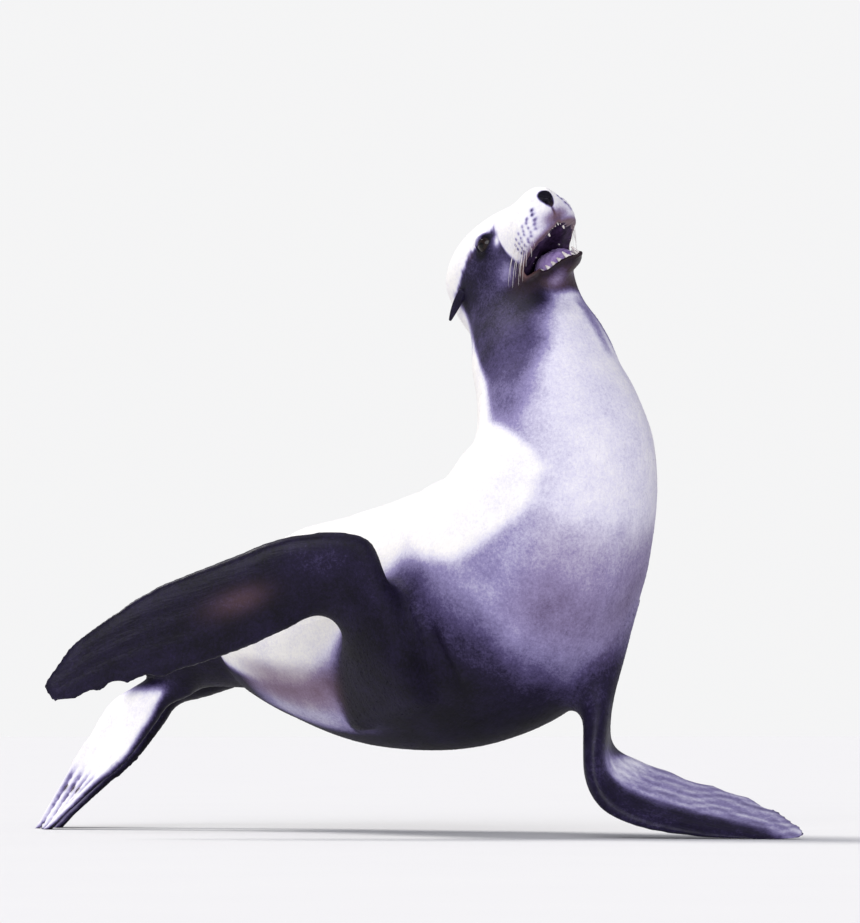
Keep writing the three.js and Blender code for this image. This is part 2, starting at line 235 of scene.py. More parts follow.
def unit(v):
    """Each way at length 1."""
    return v / np.maximum(np.linalg.norm(v, axis=-1, keepdims=True), 1e-9)


def tangent(path, t, step=1e-4):
    """The way in which a path runs at t."""
    return unit(path(np.minimum(t + step, 1)) - path(np.maximum(t - step, 0)))


def column(stations, key):
    """The curve through one entry of every station."""
    return curve([station[key] for station in stations])


def loft(place, segments, rows):
    """A closed ball laid on rings: place(t, angle, open) gives its points in millimetres."""
    edit = bmesh.new()
    bmesh.ops.create_uvsphere(edit, u_segments=segments, v_segments=rows, radius=1)
    ball = np.array([v.co for v in edit.verts])
    t = np.arccos(np.clip(ball[:, 2], -1, 1)) / math.pi
    angle = np.arctan2(ball[:, 1], ball[:, 0])
    is_open = (np.hypot(ball[:, 0], ball[:, 1]) > 1e-5).astype(float)
    for vert, spot in zip(edit.verts, to_frame(place(t, angle, is_open))):
        vert.co = spot
    bmesh.ops.recalc_face_normals(edit, faces=edit.faces)
    return edit, t


half_way = curve([[0, 0, 0], [1, 1, 0], [2, 0, 0]])(np.array([0.5]))
print("a curve through 3 points, half way:", half_way)

# %% [markdown]
# ## Trunk and neck
# A sitting sea lion is one spindle, thickest behind the shoulders, that rises steeply into
# a long neck. Each station gives the spine's place, the direction of the animal's left,
# and the half width, the rise above the spine and the depth below it, in millimetres. With
# stations the belly can hang and the back stay flat, which a tube of one radius can't do.

# %% Trunk stations
BODY = [
    dict(at=[-872, -146, 238], side=[0.4, 0.92, 0], size=[7, 4, 5]),
    dict(at=[-838, -127, 252], side=[0.4, 0.92, 0], size=[17, 11, 12]),
    dict(at=[-799, -106, 267], side=[0.4, 0.92, 0], size=[32, 25, 29]),
    dict(at=[-759, -85, 281], side=[0.4, 0.92, 0], size=[62, 50, 55]),
    dict(at=[-702, -57, 296], side=[0.36, 0.93, 0], size=[88, 80, 84]),
    dict(at=[-632, -26, 318], side=[0.28, 0.96, 0], size=[117, 107, 109]),
    dict(at=[-496, -5, 313], side=[0.1, 1, 0], size=[154, 158, 150]),
    dict(at=[-339, 0, 306], side=[0, 1, 0], size=[177, 185, 181]),
    dict(at=[-172, 0, 333], side=[0, 1, 0], size=[184, 188, 209]),
    dict(at=[-66, 0, 386], side=[0, 1, 0], size=[178, 172, 226]),
    dict(at=[8, 0, 458], side=[0, 1, 0], size=[164, 150, 184]),
    dict(at=[50, 0, 556], side=[0, 1, 0], size=[139, 127, 141]),
    dict(at=[23, 1, 652], side=[-0.1, 1, 0.12], size=[110, 109, 113]),
    dict(at=[-29, 12, 722], side=[-0.02, 0.96, 0.22], size=[93, 107, 111]),
    dict(at=[-67, 22, 762], side=[0.06, 0.92, 0.36], size=[81, 96, 84]),
    dict(at=[-96, 32, 788], side=[0.11, 0.88, 0.46], size=[58, 66, 48]),
]
SKIN_DEPTH = 2.6  # how far the skin lies inside the coat's surface
spine, body_side, body_size = (column(BODY, key) for key in ("at", "side", "size"))


def trunk_rails(t):
    """The spine's point, and its forward, left and dorsal directions."""
    along = tangent(spine, t)
    left = body_side(t)
    left = unit(left - along * np.sum(left * along, axis=1)[:, None])
    return spine(t), along, left, np.cross(along, left)


def trunk_place(t, angle, is_open):
    """The trunk's rings: ellipses round the spine, with a back and a belly of their own."""
    middle, _, left, dorsal = trunk_rails(t)
    size = body_size(t) - SKIN_DEPTH
    height = np.where(np.sin(angle) > 0, size[:, 1], size[:, 2])
    across = is_open * size[:, 0] * np.cos(angle)
    up = is_open * height * np.sin(angle)
    return middle + left * across[:, None] + dorsal * up[:, None]


steps = np.diff(spine(np.linspace(0, 1, 99)), axis=0)
print("spine", round(np.linalg.norm(steps, axis=1).sum()), "mm")

# %% [markdown]
# ## Head, jaw and mouth
# The skull has its own frame: forward from the nose tip, left, and up. The head is tipped
# up and rolled to its right. Each ring gives forward place, top, widest level, underside
# and half width. The mouth is cut from two forms: a hollow behind the teeth and a flat
# gape that opens forward between the lips. In its own frame the head stays symmetric and
# easy to measure, however it is turned on the neck.

# %% Head rings
NOSE = np.array([75, -50, 916])
HEAD_YAW, HEAD_PITCH, HEAD_ROLL = -20, 22.5, 30
SKULL = [
    [-346, -6, -22, -38, 16], [-328, 22, -22, -68, 44], [-300, 42, -22, -90, 65],
    [-270, 57, -22, -102, 75], [-240, 66, -22, -106, 79], [-212, 68, -22, -106, 79],
    [-186, 66, -22, -102, 77], [-160, 62, -24, -96, 72], [-136, 57, -28, -88, 65],
    [-114, 51, -32, -78, 59], [-94, 45, -34, -70, 56], [-74, 40, -32, -63, 54],
    [-52, 36, -27, -56, 51], [-32, 34, -21, -50, 45], [-16, 32, -14, -42, 37],
    [-5, 27, -7, -32, 27], [1, 18, -3, -20, 17], [4, 6, -2, -9, 8],
]
JAW = [
    [-200, -80, -108, -136, 44], [-174, -64, -94, -130, 54], [-146, -56, -86, -122, 52],
    [-120, -55, -83, -112, 43], [-96, -58, -82, -107, 36], [-72, -63, -82, -102, 29],
    [-48, -68, -84, -99, 22], [-30, -74, -87, -97, 15], [-18, -80, -89, -95, 10],
    [-11, -86, -91, -93, 6],
]
GAPE = [
    [-114, -58, -60, -62, 32], [-100, -55, -60, -63, 41], [-78, -49, -59, -64, 50],
    [-56, -45, -59, -67, 58], [-36, -41, -60, -73, 64], [-16, -38, -62, -82, 66],
    [6, -38, -66, -92, 66],
]
MOUTH = [
    [-140, -60, -64, -68, 8], [-128, -54, -62, -73, 20], [-106, -46, -61, -78, 28],
    [-82, -40, -60, -82, 27], [-58, -35, -59, -86, 22], [-36, -31, -58, -89, 15],
    [-20, -30, -58, -91, 10], [-8, -38, -60, -84, 5],
]
TONGUE = [
    [-134, -58, -67, -72, 8], [-116, -50, -66, -82, 20], [-92, -46, -68, -87, 25],
    [-68, -52, -73, -90, 21], [-48, -63, -80, -92, 15], [-36, -76, -86, -92, 8],
]
ROUND = (0.94, 0.74)  # how square the rings are above and below their widest level
FLAT = (0.3, 0.3)
skull_turn = np.array(
    Matrix.Rotation(math.radians(HEAD_YAW), 3, "Z")
    @ Matrix.Rotation(math.radians(-HEAD_PITCH), 3, "Y")
    @ Matrix.Rotation(math.radians(HEAD_ROLL), 3, "X")
)


def from_skull(points):
    """Skull places to the body's millimetres."""
    return NOSE + np.asarray(points, float) @ skull_turn.T


def to_skull(places):
    """Places in the frame, in metres, to skull millimetres."""
    return (np.asarray(places) / MM + PLAN_CENTRE - NOSE) @ skull_turn


def head_form(rings, grow=0.0, softness=ROUND):
    """A form of the head from its rings, thicker by grow, with square or flat corners."""
    crown = curve([[x, top, level] for x, top, level, _, _ in rings])
    keel = curve([[x, under, width] for x, _, _, under, width in rings])

    def place(t, angle, is_open):
        x, top, level = crown(t).T
        _, under, width = keel(t).T
        c, s = np.cos(angle), np.sin(angle)
        soft = np.where(s > 0, softness[0], softness[1])
        height = np.where(s > 0, top - level, level - under) + grow
        across = np.sign(c) * np.abs(c) ** soft * (width + grow) * is_open
        up = np.sign(s) * np.abs(s) ** soft * height * is_open + level
        return from_skull(np.stack([x, across, up], 1))

    return place


print("the nose tip looks towards", np.round(skull_turn[:, 0], 2))

# %% [markdown]
# ## Flippers
# A sea lion walks and rows on its fore flippers: a short arm, then a long flat hand whose
# front edge is thick and whose rear edge is thin and scalloped where the digits end. Each
# station gives a point of the leading edge, a point of the trailing edge and a thickness.
# Edges are what the eye follows on a blade, so they are given, and its middle comes from
# them. Toes are five small blades fanned from the end of the web.

# %% Flipper stations
FORE_RIGHT = [
    [[-90, -119, 191], [-301, -90, 150], 60], [[-68, -178, 262], [-276, -134, 199], 84],
    [[-72, -215, 338], [-232, -180, 254], 80], [[-93, -242, 424], [-198, -217, 304], 66],
    [[-126, -271, 437], [-192, -257, 312], 54], [[-181, -331, 431], [-204, -299, 297], 46],
    [[-217, -371, 412], [-232, -348, 271], 40], [[-259, -418, 388], [-279, -413, 241], 32],
    [[-303, -467, 362], [-316, -464, 223], 25], [[-343, -515, 324], [-345, -505, 213], 20],
    [[-377, -555, 286], [-368, -536, 199], 15], [[-400, -582, 245], [-389, -567, 187], 11],
    [[-411, -594, 212], [-399, -579, 184], 9],
]
FORE_LEFT = [
    [[104, 50, 350], [0, 108, 345], 120], [[108, 38, 298], [-4, 104, 300], 120],
    [[112, 28, 248], [6, 98, 249], 96], [[114, 16, 206], [18, 92, 207], 66],
    [[117, 6, 166], [31, 91, 169], 48], [[119, -3, 123], [45, 90, 140], 46],
    [[126, -13, 82], [58, 94, 126], 44], [[143, -6, 46], [83, 112, 114], 40],
    [[180, 17, 21], [113, 135, 100], 34], [[236, 58, 6], [161, 170, 81], 28],
    [[293, 102, -1], [218, 195, 65], 21], [[344, 141, -4], [278, 207, 44], 15],
    [[372, 160, -1], [333, 194, 28], 10], [[386, 169, 8], [372, 178, 18], 7],
]
HIND_RIGHT = [
    [[-660, -50, 262], [-700, -4, 306], 60], [[-700, -70, 236], [-752, -34, 280], 64],
    [[-730, -92, 216], [-800, -68, 246], 54], [[-756, -106, 198], [-838, -100, 222], 42],
    [[-771, -122, 161], [-876, -123, 199], 33], [[-795, -144, 116], [-911, -146, 139], 26],
    [[-820, -170, 78], [-935, -164, 98], 19],
]
HIND_LEFT_STEP = np.array([-100, 92, 0])
HIND_LEFT_ROOT = np.array([-8, 96, 4])
LEG_STATIONS = 3  # over these stations a hind leg moves from the hip's place to the foot's
TOE_TIPS = np.array([[-886, -234, -8], [-971, -195, -8]])
TOE_LENGTHS = [1.1, 1.02, 0.98, 1.02, 1.1]
TOE_HALF_WIDTH, TOE_NARROWS = 12.5, 4
TOE_THICKNESS, TOE_THINS = 20, 10
LOBE_START, LOBE_END, LOBE_FADE = 0.62, 0.95, 0.09  # along the blade
LOBE_DEPTH, LOBE_RATE = 4.5, 13.0
FLIPPER_SKIN = 1.0
THINNEST_HALF = 4.6  # a thinner blade would have holes after the remesh
EDGE_BLUNTNESS = 0.62  # below 1 the edge of a blade is blunter than an ellipse


def lobes(t):
    """Scallops of the trailing edge where the digits end."""
    wave = LOBE_DEPTH * np.sin((t - LOBE_START) * 2 * math.pi * LOBE_RATE)
    fade = np.clip((LOBE_END - t) / LOBE_FADE, 0, 1)
    return np.where(t > LOBE_START, wave * fade, 0)


def flipper_rails(stations):
    """The middle line of a blade between its two edges."""
    lead, trail = column(stations, 0), column(stations, 1)

    def rails(t):
        """The middle of the blade, and the ways to its tip, leading edge and upper face."""
        along = tangent(lead, t) + tangent(trail, t)
        chord = unit(lead(t) - trail(t))
        normal = unit(np.cross(along, chord))
        return (lead(t) + trail(t)) / 2, unit(along), chord, normal

    return rails


def thickness(stations):
    """The thickness of a blade as a function of t."""
    thick = curve([[station[2], 0, 0] for station in stations])
    return lambda t: thick(t)[:, 0]


def flipper_form(stations, trailing=lambda t: 0 * t):
    """A blade with a blunt leading edge, and a trailing edge drawn in by trailing(t)."""
    lead, trail = column(stations, 0), column(stations, 1)
    rails, thick = flipper_rails(stations), thickness(stations)

    def place(t, angle, is_open):
        middle, _, chord, normal = rails(t)
        span = np.linalg.norm(lead(t) - trail(t), axis=1)
        half = np.cos(angle)
        taper = 0.80 + 0.20 * half
        reach = np.where(half < 0, trailing(t) * half**2, 0) * is_open
        across = is_open * half * (span / 2 + FLIPPER_SKIN) - reach
        depth = np.maximum(thick(t) / 2 - FLIPPER_SKIN, THINNEST_HALF)
        s = np.sin(angle)
        up = is_open * taper * depth * np.sign(s) * np.abs(s) ** EDGE_BLUNTNESS
        return middle + chord * across[:, None] + normal * up[:, None]

    return place, rails


print("the right hand's blade is", thickness(FORE_RIGHT)(np.array([0.5])).round(1), "mm thick half way")


# %% Toes, legs and the list of forms
def toe_forms(step):
    """The five toes of one hind foot, fanned from the end of its web to the toe line."""
    web = np.array(HIND_RIGHT[-2][:2], float)
    width = unit(TOE_TIPS[1] - TOE_TIPS[0])
    for i, length in enumerate(TOE_LENGTHS):
        share = (i + 0.5) / len(TOE_LENGTHS)
        root = web[0] + (web[1] - web[0]) * share
        tip = root + (TOE_TIPS[0] + (TOE_TIPS[1] - TOE_TIPS[0]) * share - root) * length
        tip[2] = TOE_TIPS[0][2]
        rings = []
        for t in (0, 0.3, 0.6, 0.85, 1):
            middle = root + (tip - root) * t + step
            aside = width * (TOE_HALF_WIDTH - TOE_NARROWS * t)
            rings.append([middle - aside, middle + aside, TOE_THICKNESS - TOE_THINS * t])
        yield flipper_form(rings)


def hind_leg(root, step):
    """One hind leg: its hip end is moved by root, and its foot end by step."""
    moved = []
    for i, (near, far, thick) in enumerate(HIND_RIGHT):
        shift = root + (step - root) * min(1, i / LEG_STATIONS)
        moved.append([np.array(near) + shift, np.array(far) + shift, thick])
    return flipper_form(moved)


STILL = np.zeros(3)
JAW_SKIN_DEPTH = 1.0
FORMS = [  # name, place of its rings, rails, segments round it and rows along it
    ("trunk", trunk_place, trunk_rails, 96, 150),
    ("skull", head_form(SKULL, -SKIN_DEPTH), None, 96, 90),
    ("jaw", head_form(JAW, -JAW_SKIN_DEPTH), None, 64, 60),
    ("fore_right", *flipper_form(FORE_RIGHT, lobes), 48, 130),
    ("fore_left", *flipper_form(FORE_LEFT, lobes), 48, 110),
    ("hind_right", *hind_leg(STILL, STILL), 40, 60),
    ("hind_left", *hind_leg(HIND_LEFT_ROOT, HIND_LEFT_STEP), 40, 60),
]
FORMS += [("hind_right", *form, 16, 34) for form in toe_forms(STILL)]
FORMS += [("hind_left", *form, 16, 34) for form in toe_forms(HIND_LEFT_STEP)]
print(len(FORMS), "forms")

# %% [markdown]
# ## One skin
# A live skin has no seams, so the forms are gathered into one mesh and remeshed as a single
# closed surface. Sculpting one ball by hand could give the same, but a formula can be
# repeated and changed. A boolean union would leave sharp creases with long thin faces.

# %% Gather and remesh
VOXEL = 0.0055  # metres


def gather(edits):
    """One mesh in editing that holds all the given ones."""
    whole = bmesh.new()
    passing = bpy.data.meshes.new("passing")
    for edit in edits:
        edit.to_mesh(passing)
        edit.free()
        whole.from_mesh(passing)
    bpy.data.meshes.remove(passing)
    return whole


def bake_modifiers(thing):
    """Replaces an object's mesh by its evaluated one, and clears its modifiers."""
    depsgraph = bpy.context.evaluated_depsgraph_get()
    made = bpy.data.meshes.new_from_object(thing.evaluated_get(depsgraph))
    thing.modifiers.clear()
    thing.data = made
    made.polygons.foreach_set("use_smooth", [True] * len(made.polygons))


lofts = [loft(place, segments, rows) for _, place, _, segments, rows in FORMS]
source_co = [np.array([v.co for v in edit.verts]) for edit, _ in lofts]
source_t = [t for _, t in lofts]
source_form = [np.full(len(t), index) for index, t in enumerate(source_t)]
skin = finish_object("skin", gather([edit for edit, _ in lofts]))
remesh = skin.modifiers.new("one surface", "REMESH")
remesh.mode = "VOXEL"
remesh.voxel_size = VOXEL
bake_modifiers(skin)
print("skin", len(skin.data.polygons), "faces")


# %% Mesh arrays
def read(rows, label, width, kind=np.float32):
    """One value, width numbers long, of all a mesh's points, edges, corners or faces."""
    values = np.empty(len(rows) * width, kind)
    rows.foreach_get(label, values)
    return values.reshape(-1, width)


def places(mesh):
    return read(mesh.vertices, "co", 3).astype(float)


def normals(mesh):
    return read(mesh.vertices, "normal", 3).astype(float)


def edge_pairs(mesh):
    return read(mesh.edges, "vertices", 2, np.int32)


def move_to(mesh, co):
    """Moves every point of a mesh to its new place."""
    mesh.vertices.foreach_set("co", co.ravel())
    mesh.update()


def tree_of(points):
    """A search tree that finds the number of the nearest point and its distance."""
    tree = KDTree(len(points))
    for index, point in enumerate(points):
        tree.insert(point, index)
    tree.balance()
    return tree


print("edges of the skin", len(edge_pairs(skin.data)))


# %% Smooth steps and relaxing
def smooth_step(value, low, high):
    """0 up to low, 1 from high on, and a smooth rise between."""
    share = np.clip((value - low) / (high - low), 0, 1)
    return share * share * (3 - 2 * share)


def between(value, low, full, ebb, high):
    """0 up to low, 1 from full to ebb, and 0 again from high on."""
    return smooth_step(value, low, full) * smooth_step(-value, -high, -ebb)


def bump(distance, reach):
    """1 at distance 0, falling smoothly to 0 at reach."""
    share = np.clip(1 - (distance / reach) ** 2, 0, 1)
    return share * share * (3 - 2 * share)


def bell(distance, width):
    """1 at distance 0, falling off as a bell curve."""
    return np.exp(-((distance / width) ** 2))


def mix(value, target, share):
    """Moves a value towards a target by a share of the way."""
    return value + (target - value) * share


def relax(values, pairs, weight, times):
    """Moves each value towards the mean of its neighbours, by weight, several times."""
    a, b = pairs.T
    count = len(values)
    degree = np.maximum(np.bincount(pairs.ravel(), minlength=count), 1)[:, None]
    for _ in range(times):
        sums = [np.bincount(a, v[b], count) + np.bincount(b, v[a], count) for v in values.T]
        values = values + (np.stack(sums, 1) / degree - values) * weight[:, None]
    return values


print("a smooth step half way:", smooth_step(0.5, 0, 1))

# %% [markdown]
# ## Rounded creases
# Where a limb or the head leaves the trunk the real skin runs over in a soft hollow. Points
# near those places are relaxed most, the rest hardly. A bevel needs one clean edge, which
# a remeshed surface doesn't have. Blades are relaxed a little, to lose the voxel steps.

# %% Relax the junctions
JUNCTIONS = [  # places in the body's millimetres, and how wide the creases there are rounded
    ([-150, -190, 330], 120), ([-190, -170, 230], 120), ([70, 60, 300], 110), ([60, 60, 230], 90),
    ([-690, -50, 270], 80), ([-700, 30, 275], 80), ([-690, -90, 262], 70), ([-700, 60, 262], 70),
]
NAPE_RING = [  # the same round the back of the skull and the throat, in skull millimetres
    ([-262, 0, -60], 95), ([-230, -70, -60], 95), ([-230, 70, -60], 95), ([-190, -30, -110], 90),
    ([-150, -70, -62], 68), ([-118, -62, -92], 58), ([-92, -30, -112], 46), ([-92, 25, -112], 50),
    ([-112, 60, -92], 58), ([-155, 72, -62], 72), ([-140, 0, -120], 60), ([-300, 0, -80], 100),
    ([-330, 0, -10], 90), ([-320, -55, -30], 85), ([-320, 55, -30], 85), ([-350, 0, -70], 100),
]
BLADES = ("fore_right", "fore_left")
BLADE_NEAR = 0.012  # metres
JUNCTION_TIMES, BODY_TIMES, BLADE_TIMES = 190, 3, 17
FLOOR_LEVEL = 0.0006  # metres


def nearness(co, spot, reach):
    """1 at a place in the body's millimetres, falling smoothly to 0 at reach."""
    return bump(np.linalg.norm(co - to_frame(spot), axis=1) / MM, reach)


co, pairs = places(skin.data), edge_pairs(skin.data)
creases = JUNCTIONS + [(from_skull(spot), reach) for spot, reach in NAPE_RING]
rounding = np.max([nearness(co, spot, reach) for spot, reach in creases], axis=0)
co = relax(co, pairs, 0.6 * rounding, JUNCTION_TIMES)
co = relax(co, pairs, np.full(len(co), 0.5), BODY_TIMES)
blade_tree = tree_of(np.vstack([c for c, form in zip(source_co, FORMS) if form[0] in BLADES]))
on_blade = np.array([blade_tree.find(spot)[2] < BLADE_NEAR for spot in co])
co = relax(co, pairs, 0.5 * on_blade, BLADE_TIMES)
co[:, 2] = np.maximum(co[:, 2], FLOOR_LEVEL)
move_to(skin.data, co)
print("relaxed", int((rounding > 0).sum()), "points of the junctions")

# %% [markdown]
# ## Finer faces where the detail is
# Lids, lips and nostrils are a few millimetres wide, and the remesh is coarser than that. A
# finer remesh of the whole body would cost four times the faces, so only the head is split
# once, and the muzzle and the skin round the eyes once more.


# %% Split the head and the face
def refine(mesh, chosen):
    """Splits every edge whose two ends are chosen."""
    edit = bmesh.new()
    edit.from_mesh(mesh)
    edit.verts.ensure_lookup_table()
    picked = [e for e in edit.edges if chosen[e.verts[0].index] and chosen[e.verts[1].index]]
    bmesh.ops.subdivide_edges(edit, edges=picked, cuts=1, use_grid_fill=True)
    edit.to_mesh(mesh)
    edit.free()
    mesh.polygons.foreach_set("use_smooth", [True] * len(mesh.polygons))


HEAD_BACK, HEAD_LOW = -235.0, -150  # skull millimetres: finer faces lie in front and above
FACE_BACK, FACE_LOW = -112, -125
LIDS_MIDDLE, LIDS_ASIDE, LIDS_LOW = -128, 50, -20
spot = to_skull(places(skin.data))
refine(skin.data, (spot[:, 0] > HEAD_BACK) & (spot[:, 2] > HEAD_LOW))
spot = to_skull(places(skin.data))
near_eye = np.abs(np.abs(spot[:, 1]) - LIDS_ASIDE) < 32
near_eye &= (np.abs(spot[:, 0] - LIDS_MIDDLE) < 36) & (spot[:, 2] > LIDS_LOW)
muzzle = (spot[:, 0] > FACE_BACK) & (spot[:, 2] > FACE_LOW)
refine(skin.data, near_eye | muzzle)
co, pairs = places(skin.data), edge_pairs(skin.data)
spot = to_skull(co)
fine = smooth_step(spot[:, 0], HEAD_BACK - 20, HEAD_BACK + 20) * (spot[:, 2] > HEAD_LOW - 20)
move_to(skin.data, relax(co, pairs, 0.5 * fine, 8))
print("skin", len(skin.data.polygons), "faces with the fine head")

# %% [markdown]
# ## The open mouth
# The lips part in a long wedge, and the jaws behind them are hollow. Both are cut out with
# closed forms, because rows of faces pulled inwards would fold over at the corners. The
# cutter's faces keep a second material slot, so the lining of the mouth is known from the
# outer skin, and the rim between them is the lip.

# %% Cut the mouth
OUTSIDE, LINING = 0, 1
SLOT_LOOKS = [bpy.data.materials.new(label) for label in ("outside", "lining")]


def give_slots(thing):
    """Gives an object both plain looks, so that its faces can be told apart."""
    for look in SLOT_LOOKS:
        thing.data.materials.append(look)


def cutter(name, edit):
    """A cutter whose faces all lie in the lining's slot."""
    for face in edit.faces:
        face.material_index = LINING
    made = finish_object(name, edit)
    give_slots(made)
    return made


give_slots(skin)
cutters = [cutter("hollow", loft(head_form(MOUTH), 40, 48)[0]),
           cutter("gape", loft(head_form(GAPE, 0, FLAT), 48, 44)[0])]
for tool in cutters:
    cut = skin.modifiers.new("open the mouth", "BOOLEAN")
    cut.operation = "DIFFERENCE"
    cut.object = tool
    cut.solver = "EXACT"
    bake_modifiers(skin)
for tool in cutters:
    bpy.data.objects.remove(tool)


def tidy_faces(mesh):
    """Joins doubled points and splits faces of five or more corners."""
    edit = bmesh.new()
    edit.from_mesh(mesh)
    bmesh.ops.remove_doubles(edit, verts=edit.verts, dist=0.0001)
    many = [face for face in edit.faces if len(face.verts) > 4]
    bmesh.ops.triangulate(edit, faces=many)
    edit.to_mesh(mesh)
    edit.free()


tidy_faces(skin.data)
face_slot = read(skin.data.polygons, "material_index", 1, np.int32).ravel()
print("mouth lining", int((face_slot == LINING).sum()), "faces of", len(face_slot))

# %% [markdown]
# ## Finding every point on the straightened body
# Markings, wrinkles and hair follow the body, not the room. So each point of the skin is
# found again on the nearest form: how far along it lies, and how far across and up. In
# that straightened body hair grain is simply a noise drawn out along the first direction.
# An unwrap could carry it too, but its seams would break every marking that crosses them.

# %% Lie of each point
JAW_FORM = [form[0] for form in FORMS].index("jaw")
LENGTHS = dict(trunk=1.75, fore_right=0.75, fore_left=0.62, hind_right=0.30, hind_left=0.30)
HEAD_START = LENGTHS["trunk"] + 0.25  # metres, all of them on the straightened body
HEAD_RISE = 0.03
SEARCH_TIMES, SEARCH_STEP, SLOWEST = 6, 1e-3, 0.2

form_tree = tree_of(np.vstack(source_co))
form_of, t_of = np.concatenate(source_form), np.concatenate(source_t)


def lie_of(co):
    """For each point: its form's number, t along it, lie in metres and hair direction."""
    nearest = np.array([form_tree.find(spot)[1] for spot in co])
    form, t = form_of[nearest], t_of[nearest]
    lie, flow = np.zeros((len(co), 3)), np.zeros((len(co), 3))
    body = co / MM + PLAN_CENTRE
    for index, (name, _, rails, *_) in enumerate(FORMS):
        here = form == index
        if not here.any():
            continue
        if rails is None:
            forward, across, up = to_skull(co[here]).T * MM
            lie[here] = np.stack([HEAD_START + forward, across, up + HEAD_RISE], 1)
            flow[here] = -skull_turn[:, 0]
            continue
        run = t[here]
        for _ in range(SEARCH_TIMES):
            middle, along, _, _ = rails(run)
            ends = np.minimum(run + SEARCH_STEP, 1), np.maximum(run - SEARCH_STEP, 0)
            step = np.linalg.norm(rails(ends[0])[0] - rails(ends[1])[0], axis=1)
            speed = np.maximum(step, SLOWEST) / (2 * SEARCH_STEP)
            ahead = np.sum((body[here] - middle) * along, axis=1)
            run = np.clip(run + 0.7 * ahead / speed, 0, 1)
        middle, along, side, up = rails(run)
        away = (body[here] - middle) * MM
        t[here] = run
        aside, above = np.sum(away * side, axis=1), np.sum(away * up, axis=1)
        lie[here] = np.stack([run * LENGTHS[name], aside, above], 1)
        flow[here] = -along if name == "trunk" else along
    return form, t, lie, flow


co = places(skin.data)
form, t, lie, flow = lie_of(co)
names = np.array([entry[0] for entry in FORMS])[form]
on_toe = form >= len(FORMS) - 2 * len(TOE_LENGTHS)
spot = to_skull(co)
print({name: int((names == name).sum()) for name in sorted(set(names))})

# %% [markdown]
# ## Eyelids
# A sea lion's lids lie tight on a big round eye and meet in two corners. The skin near each
# eye is wrapped round a ball, a little above the eyeball to come, and inside an opening of
# two arcs it sinks behind it. Eye and lids then fit wherever the head is turned.

# %% Eyelids
EYE = np.array([-130, 41, 17])  # skull millimetres, on the left; the right one is mirrored
EYE_RADIUS = 17
EYE_LONG, EYE_SHORT = 13.0, 6.2  # half length and half height of the opening
LID_THICKNESS, LID_FOLD, LID_SLANT = 2.2, 1.1, 0.0022
OPENING_DEPTH = 5.5  # how far the skin sinks behind the ball
EYE_OUT = unit(np.array([0.40, 0.87, 0.12]))
EYE_ALONG = unit(np.array([0.93, -0.36, 0.06]))


def mirrored(v, sign):
    """A place or way of the left side of the head, moved to the side of the sign."""
    return np.asarray(v, float) * [1, sign, 1]


def eye_frame(sign):
    """Centre of the eyeball, and its ways outwards, to the front corner and to the brow."""
    out = mirrored(EYE_OUT, sign)
    along = mirrored(EYE_ALONG, sign)
    along = unit(along - out * (along @ out))
    brow = np.cross(along, out) * sign
    return mirrored(EYE, sign), out, along, brow if brow[2] > 0 else -brow


def shape_lids(spot, sign):
    """Wraps the skin near an eye round the ball, with an opening of two arcs."""
    centre, out, along, brow = eye_frame(sign)
    away = spot - centre
    distance = np.linalg.norm(away, axis=1)
    u, v = away @ along, away @ brow
    slant = v - LID_SLANT * u**2 * np.sign(v)
    opening = np.hypot(u / EYE_LONG, slant / EYE_SHORT)
    lid = EYE_RADIUS + LID_THICKNESS * (0.35 + 0.65 * smooth_step(opening, 0.96, 1.35))
    lid -= LID_FOLD * bell(opening - 2.0, 0.2) * (v > 0)
    inner = EYE_RADIUS - OPENING_DEPTH
    radius = inner + (lid - inner) * smooth_step(opening, 0.86, 1.0)
    weight = smooth_step(-opening, -3.3, -1.7) * (away @ out > 2)
    target = centre + unit(away) * radius[:, None]
    raised = np.where((distance > radius) & (opening > 1.05), 0.55, 1.0)
    return spot + (target - spot) * (weight * raised)[:, None]


for sign in (-1, 1):
    spot = shape_lids(spot, sign)
print("lids wrap two balls of radius", EYE_RADIUS, "mm")

# %% [markdown]
# ## Whisker pads, nose and lips
# The muzzle is broad and blunt: two soft pads with rows of whisker roots, a leathery nose
# with slit nostrils and a furrow below it, and lips that thicken at their rim. All of it
# is a rise or fall along the skin's own normals, worked out from distances. Sculpting or
# a displacement map would do the same, but a distance needs neither a map nor hand work.

# %% Whisker pads and nose
PAD = np.array([-32, 36, -26])  # skull millimetres, as all places of this cell
PAD_REACH, PAD_HEIGHT = 34, 4.0
BROW, BROW_REACH, BROW_HEIGHT = [-126, 44, 44], 26, 2.6
NOSE_MIDDLE, NOSE_TALL, NOSE_WIDE, NOSE_HEIGHT = 0, 14, 10, 1.4
NOSTRIL_START, NOSTRIL_END = np.array([2, 4.0, -5]), np.array([-8, 12.5, 12])
NOSTRIL_WIDTH, NOSTRIL_DEPTH = 2.0, 5.5
PHILTRUM_START, PHILTRUM_END = np.array([2, 0, -8]), np.array([-4, 0, -36])
WHISKERS_IN_ROW = [6, 6, 6, 5, 3]


def along_segment(spot, start, end):
    """Distance of each point to a straight stretch."""
    way = end - start
    share = np.clip((spot - start) @ way / (way @ way), 0, 1)
    return np.linalg.norm(spot - start - share[:, None] * way, axis=1)


muzzle_tree = tree_of(spot[(spot[:, 0] > -100) & (spot[:, 2] > -60)])


